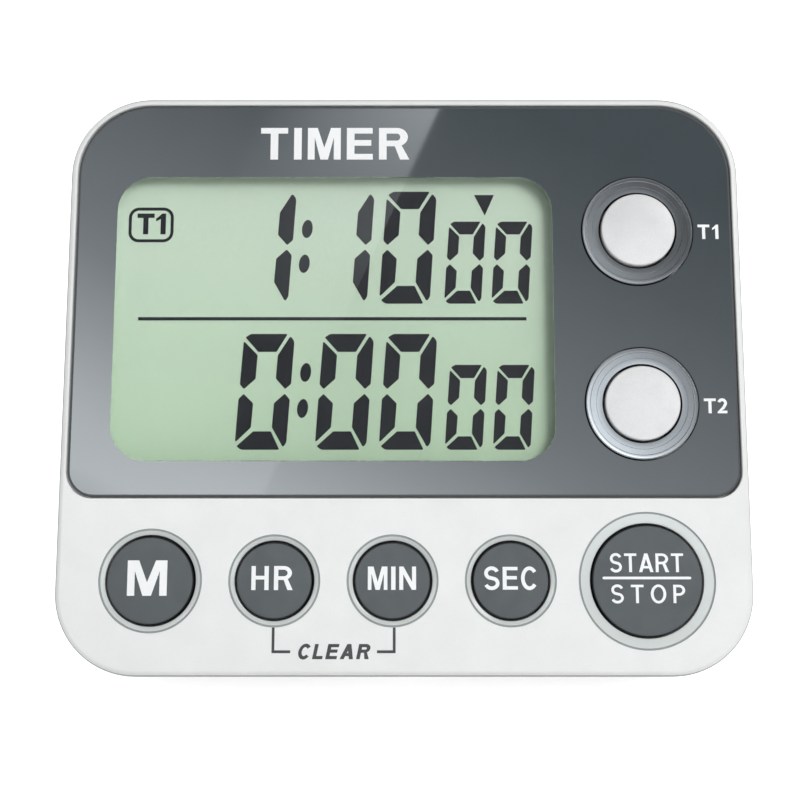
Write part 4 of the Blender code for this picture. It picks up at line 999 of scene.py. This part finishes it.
def make_rear_case():
    rear, front = REAR_LOW.z, CASE_LOW.z - FIT
    fit = Vector((FIT, FIT))
    seat = flared(DOOR_LOW.xy - fit, DOOR_HIGH.xy + fit, (1.75, 1.75), rear + 1.35)
    recess = flared((-RECESS_HALF, RECESS_FOOT), (RECESS_HALF, RECESS_HEAD), (0.3, 0.3), RECESS_FLOOR, 3)
    low, high = (-7, REAR_LOW.y - OVERCUT, rear - OVERCUT), (7, RECESS_FOOT + OVERCUT, RECESS_FLOOR)
    notch = box(bmesh.new(), low, high)
    bores = bmesh.new()
    rods(bores, CASE_SCREWS, 1.35, WELL_TOP - OVERCUT, front + OVERCUT, 24)
    rod(bores, (PIN.y, PIN.z), HINGE_BORE, -19.65, 19.65, 24, along="X")
    box(bores, (BAY_HIGH.x - 1, 18.8, -10.6), (BAY_HIGH.x + 2, 25.2, -9.6))
    rod(bores, (22.0, -14.0), 0.8, BAY_LOW.x - 2, BAY_LOW.x + 1, 16, along="X")
    case = rear_shell()
    for cut in (seat, rear_hollows(), recess, notch, bores):
        case = boolean(case, cut)
    piece("shell_rear", case, ["case_white"], "case", ["rear_case"])


def make_door():
    rear = DOOR_LOW.z
    front = rear + 1.2
    door = plate(DOOR_LOW, DOOR_HIGH, (1.6, 1.6), [(0.18, rear), (0.0, rear + 0.18), (0.0, front)], 6)
    ribs = bmesh.new()
    for y in (BAY_LOW.y + 0.4, BAY_HIGH.y - 1.4):
        box(ribs, (BAY_LOW.x + 8, y, front - 0.5), (BAY_HIGH.x - 8, y + 1.0, front + 1.2))
    grips = bmesh.new()
    groove = [(-0.3, rear - 0.5), (0.0, rear), (0.08, rear + 0.45), (0.3, rear + 0.55)]
    for k in range(6):
        x = DOOR_HIGH.x - 3.2 - 1.5 * k
        plate((x - 0.45, 18.0), (x + 0.45, 26.0), (0.4, 0.4), groove, 4, grips)
    door = boolean(boolean(door, ribs, "UNION"), grips)
    piece("door_panel", door, ["case_white"], "battery_door", ["battery_door"])


def make_stand():
    """The leg, laid out flat about its hinge and cut level with the bench, then turned to where it opens."""
    lean = math.asin(NORMAL.z)
    opened = math.radians(STAND_OPEN)
    ground = -FACE.translation.z / MM
    drop = PIN.y * math.cos(lean) + PIN.z * math.sin(lean) - ground
    reach = drop / math.cos(opened - lean)
    slope = math.tan(opened - lean) * 1.3
    side = back_edge(0.3, -1.3, 4) + front_edge(0.3, 1.3, 4)
    leg = plate((-16.5, -reach - slope), (16.5, 3.0), (0.5, 4.0), side, 12)
    barrel = rod(bmesh.new(), (0, 0), 1.7, -16.5, 16.5, along="X")
    leg = boolean(leg, barrel, "UNION")
    cuts = rod(bmesh.new(), (0, 0), HINGE_BORE, -17.5, 17.5, 24, along="X")
    panel = [(-0.4, -2.3), (-0.1, -1.3), (0.12, -1.1), (0.3, -0.4)]
    plate((-12.5, -reach + 7.0), (12.5, -6.0), (1.5, 3.0), panel, 8, cuts)
    leg = boolean(leg, cuts)
    ribs = bmesh.new()
    for k in range(5):
        y = -reach + 9.5 + 1.6 * k
        plate((-7.0, y), (7.0, y + 0.7), (0.3, 0.3), [(0.22, -1.2), (0.0, -1.0), (0.0, -0.3)], 3, ribs)
    leg = boolean(leg, ribs, "UNION")
    bench = box(bmesh.new(), (-30, -20, -20), (30, 0, 20))
    turn = Matrix.Translation((0, -reach, 0)) @ Matrix.Rotation(lean - opened, 4, "X")
    bmesh.ops.transform(bench, matrix=turn, verts=bench.verts)
    hinge = FACE @ Matrix.Translation(PIN) @ Matrix.Rotation(opened, 4, "X")
    piece("stand_leg", boolean(leg, bench), ["case_white"], "stand", ["stand"], matrix=hinge)


def make_magnets():
    for side, place in MAGNETS.items():
        low, high = (corner.z for corner in local_box(f"magnet_{side}"))
        profile = [(0, low), (5.75, low), (6.0, low + 0.25), (6.0, high - 0.2), (5.8, high), (0, high)]
        disc = lathe(bmesh.new(), profile, place)
        piece(f"magnet_disc_{side}", disc, ["ferrite"], "case", [f"magnet_{side}"])


def make_case_screws():
    """Pan-head screws with a cross recess."""
    for number, place in enumerate(CASE_SCREWS, start=1):
        low, high = (corner.z for corner in local_box(f"case_screw_{number}"))
        seat = low + 1.4
        head = [(0, low), (1.1, low, 0.4), (1.95, low + 0.75, 0.3), (1.95, seat)]
        shank = [(1.05, seat), (1.05, high - 1.2), (0.5, high), (0, high)]
        screw = lathe(bmesh.new(), filleted(head + shank), place, 40)
        for half in (Vector((1.0, 0.19)), Vector((0.19, 1.0))):
            cut = [(-0.2, low - 0.5), (0, low), (0.12, low + 0.8)]
            screw = boolean(screw, plate(place - half, place + half, (0.05, 0.05), cut, 2))
        piece(f"screw_{number}", screw, ["steel"], "case", [f"case_screw_{number}"])


def make_cell():
    """The cell on its own axis, with its dome at the far end, laid down along x in the bay."""
    low, high = local_box("battery_cell")
    length, radius = high.x - low.x, 5.25
    band = length * 0.72
    foot = [(0, 0.25), (2.6, 0.25), (2.8, 0.0, 0.1), (4.6, 0.0, 0.4), (radius, 0.55, 0.4)]
    shoulder = [(radius, length - 1.75), (5.0, length - 1.2, 0.2), (2.2, length - 1.0, 0.1)]
    dome = [(1.9, length - 0.1, 0.2), (0, length)]
    bm = lathe(bmesh.new(), filleted([*foot, (radius, band), *shoulder, *dome]), steps=64)
    paint(bm, lambda at, _: 2 if at.xy.length < 4.9 else at.z > band)
    laid = Matrix.Translation((low.x, (low.y + high.y) / 2, (low.z + high.z) / 2))
    bmesh.ops.transform(bm, matrix=laid @ Matrix.Rotation(math.pi / 2, 4, "Y"), verts=bm.verts)
    piece("cell", bm, ["cell_label", "cell_band", "steel"], "case", ["battery_cell"])


def dress_cad_nodes():
    """Gives every CAD node that still shows its own finish, with smooth curves and crisp edges."""
    for obj in nodes.values():
        if obj.hide_render:
            continue
        for slot in obj.material_slots:
            slot.material = FINISH[slot.material.name.split(".")[0]]
        weld = obj.modifiers.new("weld", "WELD")
        weld.merge_threshold = 0.000002
        split = obj.modifiers.new("crisp", "EDGE_SPLIT")
        split.split_angle = math.radians(32)
        obj.data.shade_smooth()


make_front_case()
lens_pane = make_lens()
make_print()
make_display()
make_display_contents()
make_lens_legends()
make_case_legends()
make_keys()
make_collars()
make_rear_case()
make_door()
make_stand()
make_magnets()
make_case_screws()
make_cell()


# ---- stage
def make_camera():
    """The photograph's view. The small shift is the crop of its frame."""
    data = bpy.data.cameras.new("camera")
    data.sensor_width = 36.0
    data.lens = 52.84
    data.shift_x = -0.00525
    camera = as_object("camera", data)
    camera.location = FACE @ EYE
    aim = FACE @ AIM - camera.location
    camera.rotation_mode = "QUATERNION"
    camera.rotation_quaternion = aim.to_track_quat("-Z", "Y")
    data.clip_start = 0.01
    scene.camera = camera


def make_light(name, place, size, power):
    """A square soft light aimed at the middle of the object."""
    data = bpy.data.lights.new(name, "AREA")
    data.size = size
    data.energy = power
    light = as_object(name, data)
    light.location = place
    light.rotation_mode = "QUATERNION"
    light.rotation_quaternion = (Vector((0, 0, 0.04)) - light.location).to_track_quat("-Z", "Y")
    return light


def make_world():
    world = bpy.data.worlds.new("studio")
    world.use_nodes = True
    background = world.node_tree.nodes["Background"]
    background.inputs["Color"].default_value = (1.0, 1.0, 1.0, 1.0)
    background.inputs["Strength"].default_value = 0.60
    scene.world = world


def link_light(source, receivers, state):
    """Only the receivers, or all but them, are lit by the source."""
    group = bpy.data.collections.new(source.name)
    for receiver in receivers:
        group.objects.link(receiver)
    for entry in group.collection_objects:
        entry.light_linking.link_state = state
    source.light_linking.receiver_collection = group


def make_floor():
    """A pale floor that curves up into a backdrop. Its glow leaves the object alone."""
    bm = bmesh.new()
    bend, radius, half = 1.2, 0.8, 3.0
    curve = arc((bend, radius), (radius, radius), -90, 0, 16)
    run = [(-half, 0.0), (bend, 0.0), *curve[1:], (bend + radius, half)]
    rows = [[bm.verts.new((x, y, z)) for y, z in run] for x in (-half, half)]
    for k in range(len(run) - 1):
        bm.faces.new((rows[0][k], rows[1][k], rows[1][k + 1], rows[0][k + 1]))
    mesh = as_mesh("floor", bm)
    mesh.shade_smooth()
    glow = {"Emission_Color": (1.0, 1.0, 1.0, 1.0), "Emission_Strength": 0.73}
    mesh.materials.append(moulded("floor_pale", grey(0.90), 0.8, 900.0, 0.05, 0.01, glow, blotch=6.0))
    objects = [item for item in scene.objects if item.type == "MESH"]
    floor = as_object("floor", mesh)
    link_light(floor, objects, "EXCLUDE")


def make_card(name, height, tone, span, pane, state):
    """A soft card behind the camera for glossy pieces to mirror. Its local x and y are the places on
    the lens, in face millimetres, where the camera sees it; tone makes its strength. The pane is
    included, as the only piece, or excluded."""
    mesh = bpy.data.meshes.new(name)
    (x0, y0), (x1, y1) = span
    mesh.from_pydata([(x0, y0, 0), (x1, y0, 0), (x1, y1, 0), (x0, y1, 0)], [], [(0, 1, 2, 3)])
    card = as_object(name, mesh)
    spread = (height + EYE.z - 2 * LENS_HIGH.z) / (EYE.z - LENS_HIGH.z)
    about = Matrix.Translation((EYE.x, EYE.y, height)) @ Matrix.Scale(spread, 4)
    card.matrix_world = FACE @ about @ Matrix.Translation(-EYE.xy.to_3d())
    m = Nodes(name)
    m.tree.nodes.remove(m.shader)
    light = m.add("ShaderNodeEmission", Color=(0.93, 0.985, 1.0, 1.0), Strength=tone(m)).outputs[0]
    if state == "INCLUDE":
        both = m.add("ShaderNodeAddShader")
        m.put(both, "0", light)
        m.put(both, "1", m.add("ShaderNodeBsdfTransparent").outputs[0])
        light = both.outputs[0]
    m.put(m.tree.nodes["Material Output"], "0", light)
    mesh.materials.append(m.material)
    card.visible_camera = card.visible_diffuse = card.visible_shadow = False
    link_light(card, [pane], state)


# How bright the card is by 0.5 x + y across the lens, in face millimetres
GLOW = [
    (-80.0, 0.4), (-50.0, 2.0), (-35.0, 5.2), (-28.0, 4.75), (-21.5, 3.95), (-14.0, 2.95),
    (-4.0, 1.85), (2.0, 1.5), (14.0, 1.12), (30.0, 0.62), (48.0, 0.3),
]
STREAK_FOOT, STREAK_LEAN, STREAK_WIDTH = Vector((1.25, 30.9)), 0.44, 26.0


def streak(m):
    """1 at a slanting edge on its left side, fading further left, and 0 on its right."""
    past = m.dot((1.0, -STREAK_LEAN, 0.0))
    edge = STREAK_FOOT.x - STREAK_LEAN * STREAK_FOOT.y
    rise = m.spread(past, 0.0, 1.0, edge - STREAK_WIDTH, edge)
    return m.maths("MULTIPLY", rise, m.maths("LESS_THAN", past, edge))


def panel_glow(m):
    """Bright low on the left and dark high on the right, with the streak near the top."""
    start, end = GLOW[0][0], GLOW[-1][0]
    peak = max(level for _, level in GLOW)
    stops = [((place - start) / (end - start), grey(level / peak)) for place, level in GLOW]
    glow = m.spread(m.dot((0.5, 1.0, 0.0)), 0.0, 1.0, start, end)
    tone = m.maths("MULTIPLY", m.ramp(glow, stops), peak)
    fade = m.spread(m.dot((0.0, 1.0, 0.0)), 0.6, 2.5, 23.0, 38.5)
    return m.maths("ADD", tone, m.maths("MULTIPLY", streak(m), fade))


def window_streak(m):
    """The streak's lower end, which the clear pane mirrors over the display."""
    fade = m.spread(m.dot((0.0, 1.0, 0.0)), 0.0, 0.7, 4.0, 22.0)
    return m.maths("MULTIPLY", streak(m), fade)


dress_cad_nodes()
make_camera()
make_world()
make_floor()
make_card("card", 600.0, panel_glow, ((-110, -90), (110, 120)), lens_pane, "EXCLUDE")
make_card("card_window", 560.0, window_streak, ((-60, -30), (60, 60)), lens_pane, "INCLUDE")
make_light("key", (0.53, -0.52, 0.64), 0.35, 3.3)
back_light = make_light("back", (-0.50, 0.70, 0.45), 0.30, 1.9)
link_light(back_light, [scene.objects["floor"]], "EXCLUDE")
scene.view_settings.view_transform = "Standard"
